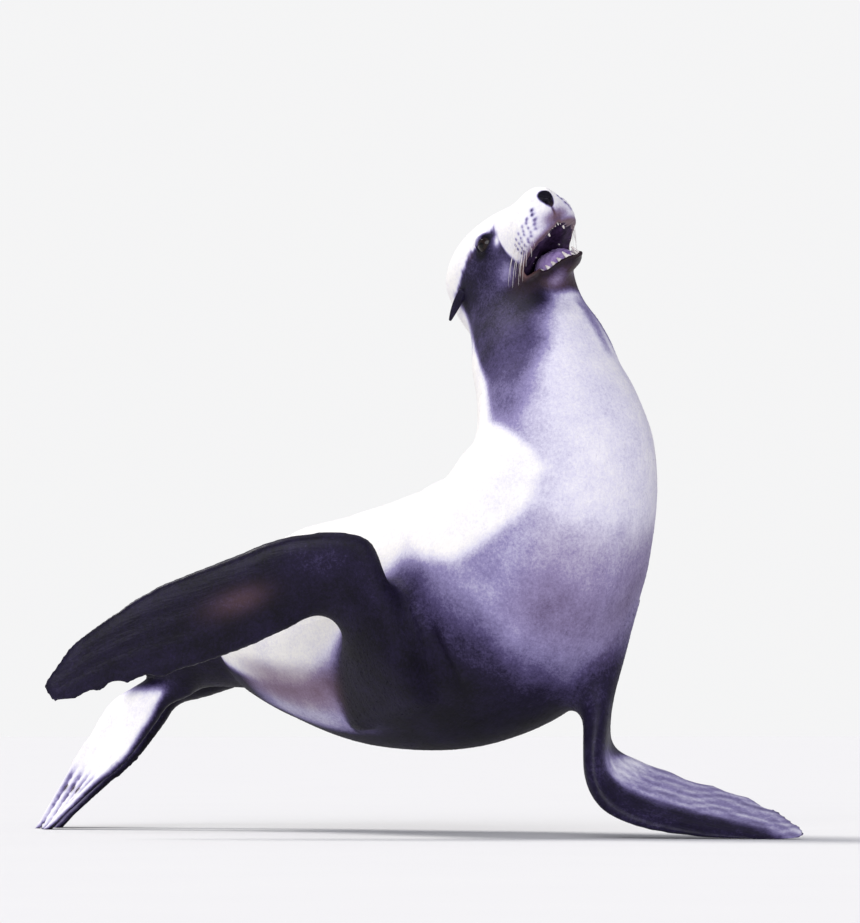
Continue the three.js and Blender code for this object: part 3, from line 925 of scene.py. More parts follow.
def whisker_roots(sign):
    """Rows of whisker roots that fan back and down over a pad, each with its row and place."""
    for row, count in enumerate(WHISKERS_IN_ROW):
        for k in range(count):
            back = 6 + 10.5 * k + 1.5 * row
            aside = 20 + 34 * (1 - math.exp(-back / 30))
            stray = 1.1 * math.sin(5.1 * k + 2.3 * row)
            aim = mirrored([-back - stray, aside, -2 - 4.2 * k - 6.4 * row + stray], sign)
            yield np.array(muzzle_tree.find(aim)[0]), row, k


def root_bells(spot, root, stretch):
    """A small bell at one whisker root, stretched sideways."""
    return bell(np.linalg.norm((spot - root) * [1, stretch, 1], axis=1), 2.3)


turned_normals = normals(skin.data) @ skull_turn
swell = np.zeros(len(spot))
for sign in (-1, 1):
    swell += PAD_HEIGHT * bump(np.linalg.norm(spot - mirrored(PAD, sign), axis=1), PAD_REACH)
    apart = along_segment(spot, mirrored(NOSTRIL_START, sign), mirrored(NOSTRIL_END, sign))
    swell -= NOSTRIL_DEPTH * bell(apart, NOSTRIL_WIDTH)
    swell += 1.3 * bell(apart - 5.0, 2.4) * (spot[:, 0] > -12)
    for root, *_ in whisker_roots(sign):
        swell += 0.7 * root_bells(spot, root, 0.4)
    brow = np.linalg.norm((spot - mirrored(BROW, sign)) * [0.6, 1, 1], axis=1)
    swell += BROW_HEIGHT * bump(brow, BROW_REACH)
philtrum = along_segment(spot, PHILTRUM_START, PHILTRUM_END)
swell -= 2.2 * bell(philtrum, 2.0)
nose_up = (spot[:, 2] - NOSE_MIDDLE) / NOSE_TALL
nose_across = spot[:, 1] / (NOSE_WIDE * np.clip(1 + 0.35 * nose_up, 0.5, 1.4))
nose_pad = smooth_step(-np.hypot(nose_across, nose_up), -1.12, -0.92)
nose_pad = np.maximum(nose_pad * smooth_step(spot[:, 0], -22, -14), bell(philtrum, 1.8))
swell += NOSE_HEIGHT * nose_pad
print("whisker pads, nose and brows rise up to", round(swell.max(), 1), "mm")

# %% Lips
LIP_HEIGHT, LIP_MIDDLE, LIP_WIDTH = 1.8, 3.5, 3.0
RIM_HEIGHT = 0.5
FAR = 99.0  # stands for any place that isn't near the lips


def points_of_faces(mesh, chosen):
    """Which points belong to the chosen faces."""
    counts = read(mesh.polygons, "loop_total", 1, np.int32).ravel()
    corner = read(mesh.loops, "vertex_index", 1, np.int32).ravel()
    found = np.zeros(len(mesh.vertices), bool)
    found[corner[np.repeat(chosen, counts)]] = True
    return found


lining = points_of_faces(skin.data, face_slot == LINING)
outside = points_of_faces(skin.data, face_slot == OUTSIDE)
rim = lining & outside
rim_tree = tree_of(spot[rim])
rim_distance = np.full(len(spot), FAR)
for index in np.flatnonzero((spot[:, 0] > -150) & (spot[:, 2] > -140)):
    rim_distance[index] = rim_tree.find(spot[index])[2]
swell[lining] = 0
swell += LIP_HEIGHT * bell(rim_distance - LIP_MIDDLE, LIP_WIDTH) * (outside & ~lining)
swell[rim] = RIM_HEIGHT
pairs = edge_pairs(skin.data)
spot = relax(spot + turned_normals * swell[:, None], pairs, 0.5 * bell(rim_distance, 4.0), 12)
co = to_frame(from_skull(spot))
move_to(skin.data, co)
print("lip rim of", int(rim.sum()), "points")

# %% [markdown]
# ## Digits and folds
# The bones of five digits ridge each fore flipper, fine wrinkles cross the web between
# them, and loose skin folds on the neck, on the chest and behind the shoulder. Waves and
# bells along the straightened body give them their run, so that they bend with it.

# %% Digits, folds and creases
DIGITS = [-0.36, -0.16, 0.04, 0.22, 0.38]  # shares of the blade's width, the leading edge last
DIGIT_WIDTH, DIGIT_HEIGHT, WEB_DEPTH = 0.07, 1.1, 0.4
RIPPLE, NECK_FOLDS, CHEST_ROLLS = 0.011, 0.0125, 0.05  # metres for one radian of the wave
RIPPLE_HEIGHT, NECK_FOLD_HEIGHT, CHEST_ROLL_HEIGHT = 0.3, 0.9, 2.5
THINNER_TIP, TOE_SLIT = 1.5, 3.0
FOLD_START, FOLD_END = np.array([-62, -213, 385]), np.array([-30, -128, 215])
FOLD_WIDTH, FOLD_DEPTH = 9, 7
outward = normals(skin.data)
rise = np.zeros(len(co))  # millimetres
along, across = lie[:, 0], lie[:, 1]  # metres on the straightened body
around = np.degrees(np.arctan2(np.abs(across), lie[:, 2]))  # 0 on the back, 180 below
trunk_here = names == "trunk"

for name, stations in (("fore_right", FORE_RIGHT), ("fore_left", FORE_LEFT)):
    here = names == name
    lead, trail = column(stations, 0), column(stations, 1)
    share = across[here] / (np.linalg.norm(lead(t[here]) - trail(t[here]), axis=1) * MM)
    ridge = sum(bell(share - digit, DIGIT_WIDTH) for digit in DIGITS)
    ripple = np.sin(along[here] / RIPPLE + 4 * share) * (1 - ridge)
    hand = between(t[here], 0.42, 0.62, 0.93, 1.0)
    rise[here] += hand * (DIGIT_HEIGHT * ridge - WEB_DEPTH + RIPPLE_HEIGHT * ripple)
neck = trunk_here * between(t, 0.72, 0.78, 0.82, 0.88) * between(around, 50, 100, 130, 158)
rise += NECK_FOLD_HEIGHT * neck * np.sin(along / NECK_FOLDS + 1.5 * np.sin(around / 24))
blade = np.isin(names, ("fore_right", "fore_left", "hind_right", "hind_left"))
rise -= THINNER_TIP * blade * ~on_toe * smooth_step(t, 0.5, 0.8)
edge = smooth_step(np.abs(across), 0.0070, 0.0105)
rise -= TOE_SLIT * on_toe * edge * smooth_step(t, 0.15, 0.40)
rise -= FOLD_DEPTH * bell(along_segment(co / MM + PLAN_CENTRE, FOLD_START, FOLD_END), FOLD_WIDTH)
chest_roll = trunk_here * between(t, 0.56, 0.62, 0.68, 0.74)
rise += CHEST_ROLL_HEIGHT * chest_roll * np.sin(along / CHEST_ROLLS) * np.sin(around / 19)
co = co + outward * (rise * MM)[:, None]
co[:, 2] = np.maximum(co[:, 2], FLOOR_LEVEL)
move_to(skin.data, co)
print("rise and fall", round(rise.min(), 1), "to", round(rise.max(), 1), "mm")

# %% [markdown]
# ## Markings
# The back and crown are almost white: partly a pale dry coat and partly painted sunlight, whose
# edge follows the line where the key light's shade begins. The chest is pale lilac, the flanks
# violet grey, and belly, face and flippers nearly black; a painted sunlit patch lies on the rear
# flank and painted shade in the chest's middle fold. One tone from 0 to 1 says this at every
# point, and the masks warm and bare say where the coat is rosy and where hide replaces hair.
# Painting on the unwrap would fix it to one mesh. Numbers on the points suit any mesh, and both
# the skin and the tufts read them.
#
# On the trunk the edges of the markings are tables: for places along the body they hold an
# angle from the middle of the back, or the tone of side and belly.

# %% Markings of the trunk
PALE_SUNLIT_EDGE = [  # t along the trunk, and degrees from the back where the white ends: pale coat and painted sunlight
    (0, 60), (0.20, 90), (0.32, 120), (0.40, 124), (0.46, 118), (0.50, 104), (0.55, 86), (0.59, 79),
    (0.62, 92), (0.64, 103), (0.68, 117), (0.70, 127), (0.725, 131), (0.74, 113), (0.762, 84),
    (0.80, 80), (1, 82),
]
SIDE_EDGE = [  # t, and degrees from the back where the tone of the side gives way to the belly's
    (0, 120), (0.45, 122), (0.60, 118), (0.66, 128), (0.72, 124), (0.76, 112), (0.785, 116),
    (0.81, 140), (0.84, 150), (1, 152),
]
LOW_TONES = [  # t, tone of the side, tone of the belly
    # the side's tone of 0.50 at t 0.45 belongs to the painted sunlit patch of the rear flank
    (0, 0.05, 0.05), (0.32, 0.08, 0.06), (0.45, 0.50, 0.06), (0.50, 0.10, 0.05), (0.57, 0.10, 0.04),
    (0.60, 0.30, 0.18), (0.63, 0.58, 0.55), (0.66, 0.55, 0.62), (0.685, 0.54, 0.72),
    (0.715, 0.66, 0.82), (0.75, 0.55, 0.80), (0.78, 0.40, 0.80), (0.83, 0.22, 0.80),
    (0.90, 0.20, 0.70), (1, 0.20, 0.40),
]
# the white of the back: a pale coat brightened to white as painted sunlight
PALE_SUNLIT_TONE, EDGE_SOFT = 0.98, 5  # tone, and degrees


def look_up(table, value, key=1):
    """The table's value between its rows, at each place."""
    return np.interp(value, [row[0] for row in table], [row[key] for row in table])


side_edge, pale_sunlit_edge = look_up(SIDE_EDGE, t), look_up(PALE_SUNLIT_EDGE, t)
to_belly = smooth_step(around, side_edge - 12, side_edge + 22)
low = mix(look_up(LOW_TONES, t, 1), look_up(LOW_TONES, t, 2), to_belly)
# above its edge the back turns white: pale coat and painted sunlight together
tone = mix(low, PALE_SUNLIT_TONE, smooth_step(-around, -pale_sunlit_edge - EDGE_SOFT, -pale_sunlit_edge + EDGE_SOFT))
# a painted sunlit patch on the rear flank, with a rosy tint inside it
sunlit_flank = trunk_here * bump(t - 0.44, 0.075)
rosy = sunlit_flank * bump(around - 122, 17)
tone = mix(tone, 0.74, 0.85 * sunlit_flank * bump(around - 138, 17))
tone = mix(tone, 0.52, 0.6 * rosy)
# painted shade in the fold along the middle of the chest, a little warm
breast_fold_shade = trunk_here * bump(t - 0.665, 0.045) * bump(around - 160, 34)
tone -= 0.13 * breast_fold_shade
warm = np.maximum(0.7 * rosy, 0.22 * breast_fold_shade)
streak = trunk_here * (across > 0) * bump(t - 0.825, 0.034) * bump(around - 166, 8)
tone = mix(tone, 0.44, 0.85 * streak)
print("trunk tones from", round(tone[trunk_here].min(), 2), "to", round(tone[trunk_here].max(), 2))

# %% [markdown]
# The head has a white crown and muzzle, partly a pale coat and partly painted sunlight, dark
# cheeks and a pale throat. Its edges follow the skull and not the spine, so they are given in
# skull millimetres. Soft round spots, each with a name, paint shade into the corners of the
# mouth, below and behind the gape and into the hollow of each ear's root, darken the skin below
# the ears, and warm the corners of the eyes.

# %% Markings of the head
CROWN_EDGE = [  # place forward on the skull, and the level where the white crown, pale coat and painted sunlight, ends
    (-352, -8), (-270, 0), (-218, 4), (-160, 26), (-102, 27), (-92, 8), (-84, -30), (-70, -62), (10, -62),
]
NECK_T = 0.93  # where the white of the nape is measured round the spine
# CROWN_TONE is a pale coat brightened to white as painted sunlight
CHEEK_TONE, CROWN_TONE, THROAT_PALER, EAR_ROOT_DARKER = 0.18, 0.97, 0.54, 0.10
SPOTS = dict(  # centre and reach of soft spots, in skull millimetres on the left
    before_eye=([-97, 50, 8], [9, 20, 9]),
    cheek=([-107, 59, -42], [20, 24, 24]),
    below_ear=([-200, 72, -24], [40, 40, 22]),
    lower_lip=([-62, 24, -92], [25, 16, 12]),
    mouth_corner_shade=([-96, 48, -68], [24, 20, 20]),
    below_gape_shade=([-86, 60, -98], [30, 26, 24]),
    behind_gape_shade=([-100, 56, -78], [26, 24, 20]),
    eye_corner=([-164, 47, 22], [7, 10, 6]),
    ear_hollow_shade=([-203, 75, -3], [15, 10, 8]),
)
UNDER_CHIN, UNDER_CHIN_REACH = [-46, -6, -104], [9, 9, 9]
LIP_FRONT, LIP_FRONT_REACH = [-4, 0, -29], [14, 25, 13]


def blot(spot, centre, reach):
    """A soft round spot, 1 at its centre."""
    return np.exp(-np.sum(((spot - centre) / reach) ** 2, axis=1))


spot = to_skull(co)
paired = {}
for name, (centre, reach) in SPOTS.items():
    paired[name] = sum(blot(spot, mirrored(centre, sign), reach) for sign in (1, -1))
forward, aside, level = spot.T
neck_middle, _, neck_left, neck_back = (v[0] for v in trunk_rails(np.array([NECK_T])))
away = co / MM + PLAN_CENTRE - neck_middle
turn = np.degrees(np.arctan2(np.abs(away @ neck_left), away @ neck_back))
nape = smooth_step(-turn, -92, -76) * smooth_step(-forward, 190, 250)
fringe = 2.2 * np.sin(forward / 3.1) * np.sin(level / 4.7 + 1) + 1.4 * np.sin(forward / 1.3)
soft = 5 + 8 * smooth_step(forward, -108, -92)
# the white crown and nape: pale coat with painted sunlight, joining the back's
crown = smooth_step((level - look_up(CROWN_EDGE, forward) + fringe) / soft, -1, 1)
crown = np.maximum(np.maximum(crown, nape), paired["before_eye"])
throat = smooth_step(-np.abs(aside + 6), -46, -22) * smooth_step(-level, 98, 116)
cheek = CHEEK_TONE + THROAT_PALER * throat
cheek = mix(cheek, 0.62, 0.9 * paired["cheek"])
cheek -= EAR_ROOT_DARKER * paired["below_ear"]
face = mix(cheek, CROWN_TONE, crown)
on_head = np.isin(names, ("skull", "jaw"))
tone = np.where(on_head, face, mix(tone, face, smooth_step(t, 0.85, 0.94)))
print("head tones from", round(face[on_head].min(), 2), "to", round(face[on_head].max(), 2))

# %% Chin, mouth corners and eye corners
jaw_tree = tree_of(source_co[JAW_FORM])
jaw_away = np.array([jaw_tree.find(point)[2] for point in co]) / MM
chin = smooth_step(-jaw_away, -19, -3) * smooth_step(forward, -132, -100)
chin *= smooth_step(-level, 62, 68)
patch = paired["lower_lip"]
under = blot(spot, UNDER_CHIN, UNDER_CHIN_REACH)
tone = mix(tone, np.clip(0.06 + 0.62 * patch - 0.5 * under, 0, 1), chin)
warm = np.maximum(warm, chin * np.clip(0.2 + 0.3 * patch, 0, 1))
bare = 0.5 * chin
# painted shade in the corners of the mouth, tinted brown, and darker still below and behind the gape,
# where the jaw casts its shade
tone = mix(tone, 0.06, np.clip(1.2 * paired["mouth_corner_shade"], 0, 1))
warm = np.maximum(warm, 0.3 * paired["mouth_corner_shade"])
behind_gape_shade = np.maximum(paired["below_gape_shade"], paired["behind_gape_shade"])
tone = mix(tone, 0.05, np.clip(1.1 * behind_gape_shade, 0, 1))
warm *= 1 - 0.6 * np.clip(behind_gape_shade, 0, 1)
tone = mix(tone, 0.28, paired["eye_corner"])
warm = np.maximum(warm, 0.8 * paired["eye_corner"])
# painted shade in the hollow at each ear's root
tone = mix(tone, 0.05, paired["ear_hollow_shade"])
front = blot(spot, LIP_FRONT, LIP_FRONT_REACH)
tone = mix(tone, 0.30, front)
warm = np.maximum(warm, 0.7 * front)
print("chin covers", int((chin > 0.5).sum()), "points")

# %% [markdown]
# Flippers are bare black hide. Where light catches the wet hide, painted highlights show as pale
# streaks, which are waves across the blade that bend along it, and a painted sheen lies on the
# right upper arm. The upper face of the near hind foot carries painted sunlight, and the far
# foot, which lies in shade, less of it.

# %% Markings of the flippers
HIDE_TONE = 0.05
PALM_AT, PALM_REACH = (0.51, 0.005), (0.050, 0.016)  # t, and metres across the blade
ELBOW_SHEEN, ELBOW_SHEEN_REACH = [-133, -280, 394], [0.06, 0.06, 0.022]  # a painted sheen on the upper arm: place in millimetres, reach in metres
FOOT_SUNLIGHT, FAR_FOOT_SHADED_SHARE = 0.90, 0.35
facing_up = relax(normals(skin.data)[:, 2:], pairs, np.full(len(co), 0.5), 6)[:, 0]
fore_right, fore_left = names == "fore_right", names == "fore_left"
bare = np.where(fore_right | fore_left, smooth_step(t, 0.22, 0.42), bare)
tone[fore_right] = HIDE_TONE
# the left flipper's tone of 0.12, above the hide's 0.05, is a painted blue-violet sheen; higher up it
# takes the chest's pale tone
tone = np.where(fore_left, 0.12 + 0.46 * smooth_step(co[:, 2], 0.262, 0.300), tone)
bend = 2.5 * np.sin(along / 0.023) + 1.7 * np.sin(along / 0.009 + 1)
streaks = 0.5 + 0.25 * np.sin(across / 0.0034 + bend) + 0.25 * np.sin(across / 0.0021 - 0.6 * bend)
palm = fore_right * bell(t - PALM_AT[0], PALM_REACH[0]) * bell(across - PALM_AT[1], PALM_REACH[1])
tone += 0.15 * palm * (0.25 + 0.75 * streaks)
warm = np.maximum(warm, 0.30 * palm)
# a painted cool sheen on the right upper arm
tone += 0.15 * fore_right * blot(co, to_frame(ELBOW_SHEEN), ELBOW_SHEEN_REACH)
# painted wet sheen and streaks of highlight on the upward face of the left hand, brightest near the wrist
left_hand_sheen = fore_left * smooth_step(t, 0.36, 0.54) * smooth_step(-across, -0.036, -0.010)
left_hand_sheen *= smooth_step(facing_up, -0.40, 0.10)
tone += left_hand_sheen * (0.22 + 0.46 * streaks + 0.20 * bump(t - 0.50, 0.10))
foot = np.isin(names, ("hind_right", "hind_left"))
# painted sunlight on the upward faces of the hind feet, less on the far foot, which lies in shade; the
# toes' sides keep the dark hide
foot_sunlit_top = smooth_step(facing_up, -0.25, 0.15) * smooth_step(-co[:, 2], -0.232, -0.205)
foot_sunlit_top *= np.where(names == "hind_left", FAR_FOOT_SHADED_SHARE, 1.0)
bare[foot] = 0.7
tone[foot] = HIDE_TONE + FOOT_SUNLIGHT * foot_sunlit_top[foot]
slit = on_toe * smooth_step(np.abs(across), 0.0072, 0.0100) * smooth_step(t, 0.18, 0.34)
tone = mix(tone, 0.06, slit)
print("bare hide covers", int((bare > 0.5).sum()), "points")

# %% Lips, nose pad, whisker roots and eye patches
lower_lip = smooth_step(-level, 60, 70)
rim_near = bell(rim_distance, 7.5 + 7.5 * lower_lip) * outside
tone = mix(tone, 0.15 - 0.14 * lower_lip, 0.9 * rim_near)
warm = np.maximum(warm * (1 - rim_near), (0.8 - 0.7 * lower_lip) * rim_near)
bare = np.maximum(bare, np.maximum(nose_pad, rim_near))
tone = mix(tone, 0.0, nose_pad)
follicles = np.zeros(len(tone))
for sign in (-1, 1):
    for root, *_ in whisker_roots(sign):
        follicles += root_bells(spot, root, 0.3)
tone = tone - 0.85 * np.clip(follicles, 0, 1) * (1 - nose_pad)
for sign in (-1, 1):
    centre, out, front_way, brow_way = eye_frame(sign)
    away = spot - centre
    u, v = away @ front_way, away @ brow_way
    patch = bump(np.hypot((u + 3) / 27, (v - 0.25 * u) / 15), 1.0) * (away @ out > 0)
    tone = mix(tone, 0.02, np.clip(1.7 * patch, 0, 1))
print("whisker roots darken", int((follicles > 0.5).sum()), "points")


# %% Soften and store the markings
def store(mesh, name, values, kind="FLOAT", part="value"):
    """Keeps one value for each point of a mesh, for the materials to read."""
    layer = mesh.attributes.new(name, kind, "POINT")
    layer.data.foreach_set(part, np.asarray(values, np.float32).ravel())


def store_masks(mesh, masks, lie):
    """Keeps tone, warm and bare, and the place on the straightened body."""
    for column_index, name in enumerate(("tone", "warm", "bare")):
        store(mesh, name, masks[:, column_index])
    store(mesh, "lie", lie, "FLOAT_VECTOR", "vector")


masks = relax(np.stack([tone, warm, bare], 1), pairs, np.full(len(tone), 0.5), 2)
root_of_limb = np.max([nearness(co, place, 1.3 * reach) for place, reach in JUNCTIONS], axis=0)
masks = relax(masks, pairs, 0.6 * root_of_limb, 45)
store_masks(skin.data, masks, lie)
print("tone from", round(masks[:, 0].min(), 2), "to", round(masks[:, 0].max(), 2))

# %% [markdown]
# ## Eyes
# A sea lion's eye is large, round and nearly black, with a dark brown iris and a wet
# cornea. The ball is turned so that its pole looks out between the lids, and rings round
# that pole carry iris and pupil.

# %% Eyeballs
def eyeball(name, sign):
    """A ball with a bulging cornea, whose points know their angle from its pole."""
    centre, out, _, _ = eye_frame(sign)
    edit = bmesh.new()
    bmesh.ops.create_uvsphere(edit, u_segments=48, v_segments=32, radius=1)
    turn = Vector(out).to_track_quat("Z", "Y").to_matrix()
    reach = []
    for vert in edit.verts:
        ball = vert.co.copy()
        reach.append(math.acos(max(-1, min(1, ball.z))))
        bulge = 1.6 * math.exp(-((reach[-1] / 0.55) ** 2))
        vert.co = to_frame(from_skull(centre + np.array(turn @ ball) * (EYE_RADIUS - 1.2 + bulge)))
    bmesh.ops.recalc_face_normals(edit, faces=edit.faces)
    made = finish_object(name, edit)
    store(made.data, "from_pole", reach)
    return made


eyes = {side: eyeball(f"eyeball_{side}", sign) for side, sign in (("left", 1), ("right", -1))}
print("eyes", sorted(eyes))

# %% [markdown]
# ## Teeth and tongue
# Between the lips show small incisors, a longer canine at each side and a row of simple
# pointed cheek teeth. Real ones stand in a low ridge of gum, which hardly shows here and is
# left out. Each tooth could be modelled by itself, but they differ in size alone, so one
# ball drawn out into a cone with a rounded tip, leaning a little backwards, serves for all.

# %% Teeth
UPPER_TEETH = dict(
    front=(-15, -27), canine=(-25, 14, -27), cheek=((-38, 17, -30), (-86, 25, -41)), length=11
)
LOWER_TEETH = dict(
    front=(-24, -88), canine=(-31, 9, -85), cheek=((-44, 14, -80), (-96, 27, -70)), length=8.5
)
CHEEK_TEETH = 5
CANINE_EXTRA = 6
FRONT_RADIUS, CANINE_RADIUS, CHEEK_RADIUS = 2.4, 3.6, 3.8


def tooth_places(row):
    """Root, length and radius of each tooth of one jaw."""
    forward, level = row["front"]
    for sign in (-1, 1):
        for i in range(2):
            yield (forward - 1.5 * i, sign * (2.8 + 4.8 * i), level), row["length"], FRONT_RADIUS
        yield mirrored(row["canine"], sign), row["length"] + CANINE_EXTRA, CANINE_RADIUS
        first, last = (mirrored(end, sign) for end in row["cheek"])
        for i in range(CHEEK_TEETH):
            yield first + (last - first) * i / (CHEEK_TEETH - 1), row["length"], CHEEK_RADIUS


def tooth_row(name, row, pointing):
    """All teeth of one jaw: balls drawn out into cones that lean backwards."""
    edit = bmesh.new()
    for root, length, radius in tooth_places(row):
        made = bmesh.ops.create_uvsphere(edit, u_segments=12, v_segments=12, radius=1)["verts"]
        for vert in made:
            x, y, z = vert.co
            height = (z + 1) / 2
            width = radius * (1 - 0.72 * height**1.5) / max(math.sqrt(1 - z * z), 0.3) * 0.9
            lean = x * width * 1.15 - 3.0 * height**2
            shape = np.array([lean, y * width, pointing * height * length])
            vert.co = to_frame(from_skull(np.array(root) + shape))
    bmesh.ops.recalc_face_normals(edit, faces=edit.faces)
    return finish_object(name, edit)


teeth = [tooth_row("teeth_upper", UPPER_TEETH, -1), tooth_row("teeth_lower", LOWER_TEETH, 1)]
print("teeth", [len(piece.data.polygons) for piece in teeth])

# %% [markdown]
# The tongue lies in the lower jaw, with a furrow along its middle and small bumps on its
# back. It is one more form of the head, so it can't miss the jaw.

# %% Tongue
def tongue_place(t, angle, is_open):
    """The tongue's rings, with a furrow along the middle of its back."""
    spots = (head_form(TONGUE, -0.8)(t, angle, is_open) - NOSE) @ skull_turn
    back = np.maximum(np.sin(angle), 0) * is_open
    spots[:, 2] -= 3.2 * back * np.exp(-((spots[:, 1] / 3.4) ** 2)) * np.sin(np.pi * t)
    spots[:, 2] += 0.5 * back * np.sin(spots[:, 0] / 1.9) * np.cos(spots[:, 1] / 2.3)
    return from_skull(spots)


tongue = finish_object("tongue_flesh", loft(tongue_place, 48, 60)[0])
print("tongue", len(tongue.data.polygons), "faces")

# %% [markdown]
# ## Ears
# The outer ear that sets a sea lion apart from a seal is a small furled cone that lies
# back. It stays a piece of its own, as the frame has it, and it is lofted along its own
# axis, because a remesh would close so thin a fold.

# %% Ears
EAR_ROOT, EAR_TIP = np.array([-214, 76, -8]), np.array([-254, 95, -24])


def ear_place(sign):
    """A cone that lies back on the head and is hollowed along the face towards it."""
    way = EAR_TIP - EAR_ROOT
    flat = unit(np.cross(way, [0, 0.3, 1.0]))
    tall = unit(np.cross(flat, way))

    def place(t, angle, is_open):
        run = t * 1.16 - 0.16
        wide = 6.8 * (1 - 0.75 * np.clip(run, 0, 1) ** 2) * is_open
        thick = 4.2 * (1 - 0.45 * t) * is_open
        furl = 1.7 * np.sin(np.pi * np.clip(run, 0, 1)) * np.exp(-((np.cos(angle) / 0.5) ** 2))
        up = wide * np.cos(angle)
        out = thick * np.sin(angle) - furl * (np.sin(angle) > 0) * is_open
        spots = EAR_ROOT + run[:, None] * way + up[:, None] * tall - out[:, None] * flat
        spots[:, 1] += 2.0 * np.sin(np.pi * t)
        return from_skull(spots * [1, sign, 1])

    return place


ears = [finish_object(f"pinna_{side}", loft(ear_place(sign), 28, 40)[0])
        for side, sign in (("left", 1), ("right", -1))]
print("ears", [len(piece.data.polygons) for piece in ears])

# %% [markdown]
# ## Whiskers
# Whiskers are stiff tapering bristles that stand out of the pads in rows and bow down.
# Each is a closed thin loft from the same roots that raised the pads. A hair curve would
# be lighter, but it doesn't leave as a solid.

# %% Whiskers
WHISKER_LENGTHS = [14, 20, 28, 36, 42, 48]  # millimetres, from the nose back
WHISKER_ROOT, WHISKER_TIP = 0.52, 0.10  # radius in millimetres
WHISKER_BURIED = 3
DOWN_IN_SKULL = -skull_turn[2]


def whisker_place(root, sign, row, k):
    """A bristle that leaves its pad sideways, then bows down and back."""
    length = WHISKER_LENGTHS[k] * (1.08 - 0.1 * row) * (0.9 + 0.2 * random.random())
    start = np.array(root) - mirrored([0, WHISKER_BURIED, 0], sign)
    out = unit(mirrored([-0.45 - 0.08 * k, 0.62, -0.35 - 0.12 * row], sign))
    droop = DOWN_IN_SKULL * (0.75 + 0.3 * random.random())

    def path(t):
        run = t[:, None] * length
        return start + out * run * (1 - 0.45 * t[:, None]) + droop * run * t[:, None] * 0.85

    def place(t, angle, is_open):
        way = tangent(path, t)
        side = unit(np.cross(way, [0.0, 0.0, 1.0]))
        over = np.cross(way, side)
        radius = ((WHISKER_ROOT - WHISKER_TIP) * (1 - t) + WHISKER_TIP) * is_open
        ring = side * np.cos(angle)[:, None] + over * np.sin(angle)[:, None]
        return from_skull(path(t) + ring * radius[:, None])

    return place


roots = [(root, sign, row, k) for sign in (-1, 1) for root, row, k in whisker_roots(sign)]
whiskers = finish_object("whiskers", gather(loft(whisker_place(*root), 6, 16)[0] for root in roots))
print(len(roots), "whiskers,", len(whiskers.data.polygons), "faces")

# %% [markdown]
# ## Claws
# The three middle toes of a hind foot have claws well before the flipper's edge, for
# scratching, and a fore flipper has only small nails. Both are flattened balls set on the
# blade's own rails, so they follow its slope.

# %% Claws
CLAW_LENGTH, CLAW_WIDTH, CLAW_HEIGHT = 13.0, 5.0, 2.4
CLAWED_TOES, TOE_CLAW_AT, TOE_CLAW_RISE = (1, 2, 3), 0.42, 7.2
NAILED_DIGITS, NAILS_AT = DIGITS[1:4], (0.80, 0.84, 0.86)


def claw_edit(base, along, side, up):
    """A curved plate: a flattened ball that narrows and dips towards its tip."""
    edit = bmesh.new()
    bmesh.ops.create_uvsphere(edit, u_segments=14, v_segments=10, radius=1)
    for vert in edit.verts:
        x, y, z = vert.co
        narrow = 1 - 0.45 * (x + 1) / 2
        spot = along * (x * CLAW_LENGTH / 2) + side * (y * narrow * CLAW_WIDTH / 2)
        spot = spot + up * (z * narrow * CLAW_HEIGHT / 2 - 0.9 * max(x, 0) ** 2)
        vert.co = to_frame(base + spot)
        vert.co.z = max(vert.co.z, FLOOR_LEVEL)
    bmesh.ops.recalc_face_normals(edit, faces=edit.faces)
    return edit


def toe_claws(step):
    """Claws of the three middle toes, on the upper face well before the tip."""
    for index, (_, rails) in enumerate(toe_forms(step)):
        if index in CLAWED_TOES:
            middle, along, side, up = (v[0] for v in rails(np.array([TOE_CLAW_AT])))
            up = up if up[2] > 0 else -up
            yield claw_edit(middle + up * TOE_CLAW_RISE, along, side, up)


def hand_claws(stations):
    """Small buried nails on the outer face of a fore flipper, for its middle digits."""
    rails = flipper_rails(stations)
    lead, trail, thick = column(stations, 0), column(stations, 1), thickness(stations)
    for digit, run in zip(NAILED_DIGITS, NAILS_AT):
        t = np.array([run])
        middle, along, side, up = (v[0] for v in rails(t))
        width = np.linalg.norm(lead(t) - trail(t))
        high = thick(t)[0] / 2 * (0.72 + 0.56 * digit)
        yield claw_edit(middle + side * digit * width + up * high, along, side, up)


toes = [*toe_claws(STILL), *toe_claws(HIND_LEFT_STEP)]
hands = [*hand_claws(FORE_RIGHT), *hand_claws(FORE_LEFT)]
claws = finish_object("claws", gather(toes + hands))
print("claws", len(claws.data.polygons), "faces")

# %% [markdown]
# ## Coat
# Sea lion hair is short, stiff and lies flat towards the tail, so most of it is grain in
# the surface. Where it breaks the outline it is built: small closed tufts, each rooted in
# the skin and leaning along the hair's own direction, thick on the trunk and head and
# absent from bare hide. Particle hair would look finer, but it isn't a solid that can
# leave the scene. Each tuft keeps a patch of the skin's unwrap at its root.

# %% Unwrap the skin
bpy.context.view_layer.objects.active = skin
skin.select_set(True)
skin.data.uv_layers.new(name="OFBake")
bpy.ops.object.mode_set(mode="EDIT")
bpy.ops.mesh.select_all(action="SELECT")
bpy.ops.uv.smart_project(angle_limit=math.radians(66), island_margin=0.002)
bpy.ops.object.mode_set(mode="OBJECT")
print("unwrapped", len(skin.data.uv_layers["OFBake"].uv), "corners")

# %% Tuft template
TUFTS_A_PIECE, TUFT_PIECES = 23000, 3
TUFT_LENGTH, TUFT_WIDTH = 0.0052, 0.0011  # metres
HEAD_SHARE = 0.62  # the hair of the head is shorter
ROOT_DEPTH = 0.0006
PATCH = 0.003  # width of one tuft's patch on the unwrap


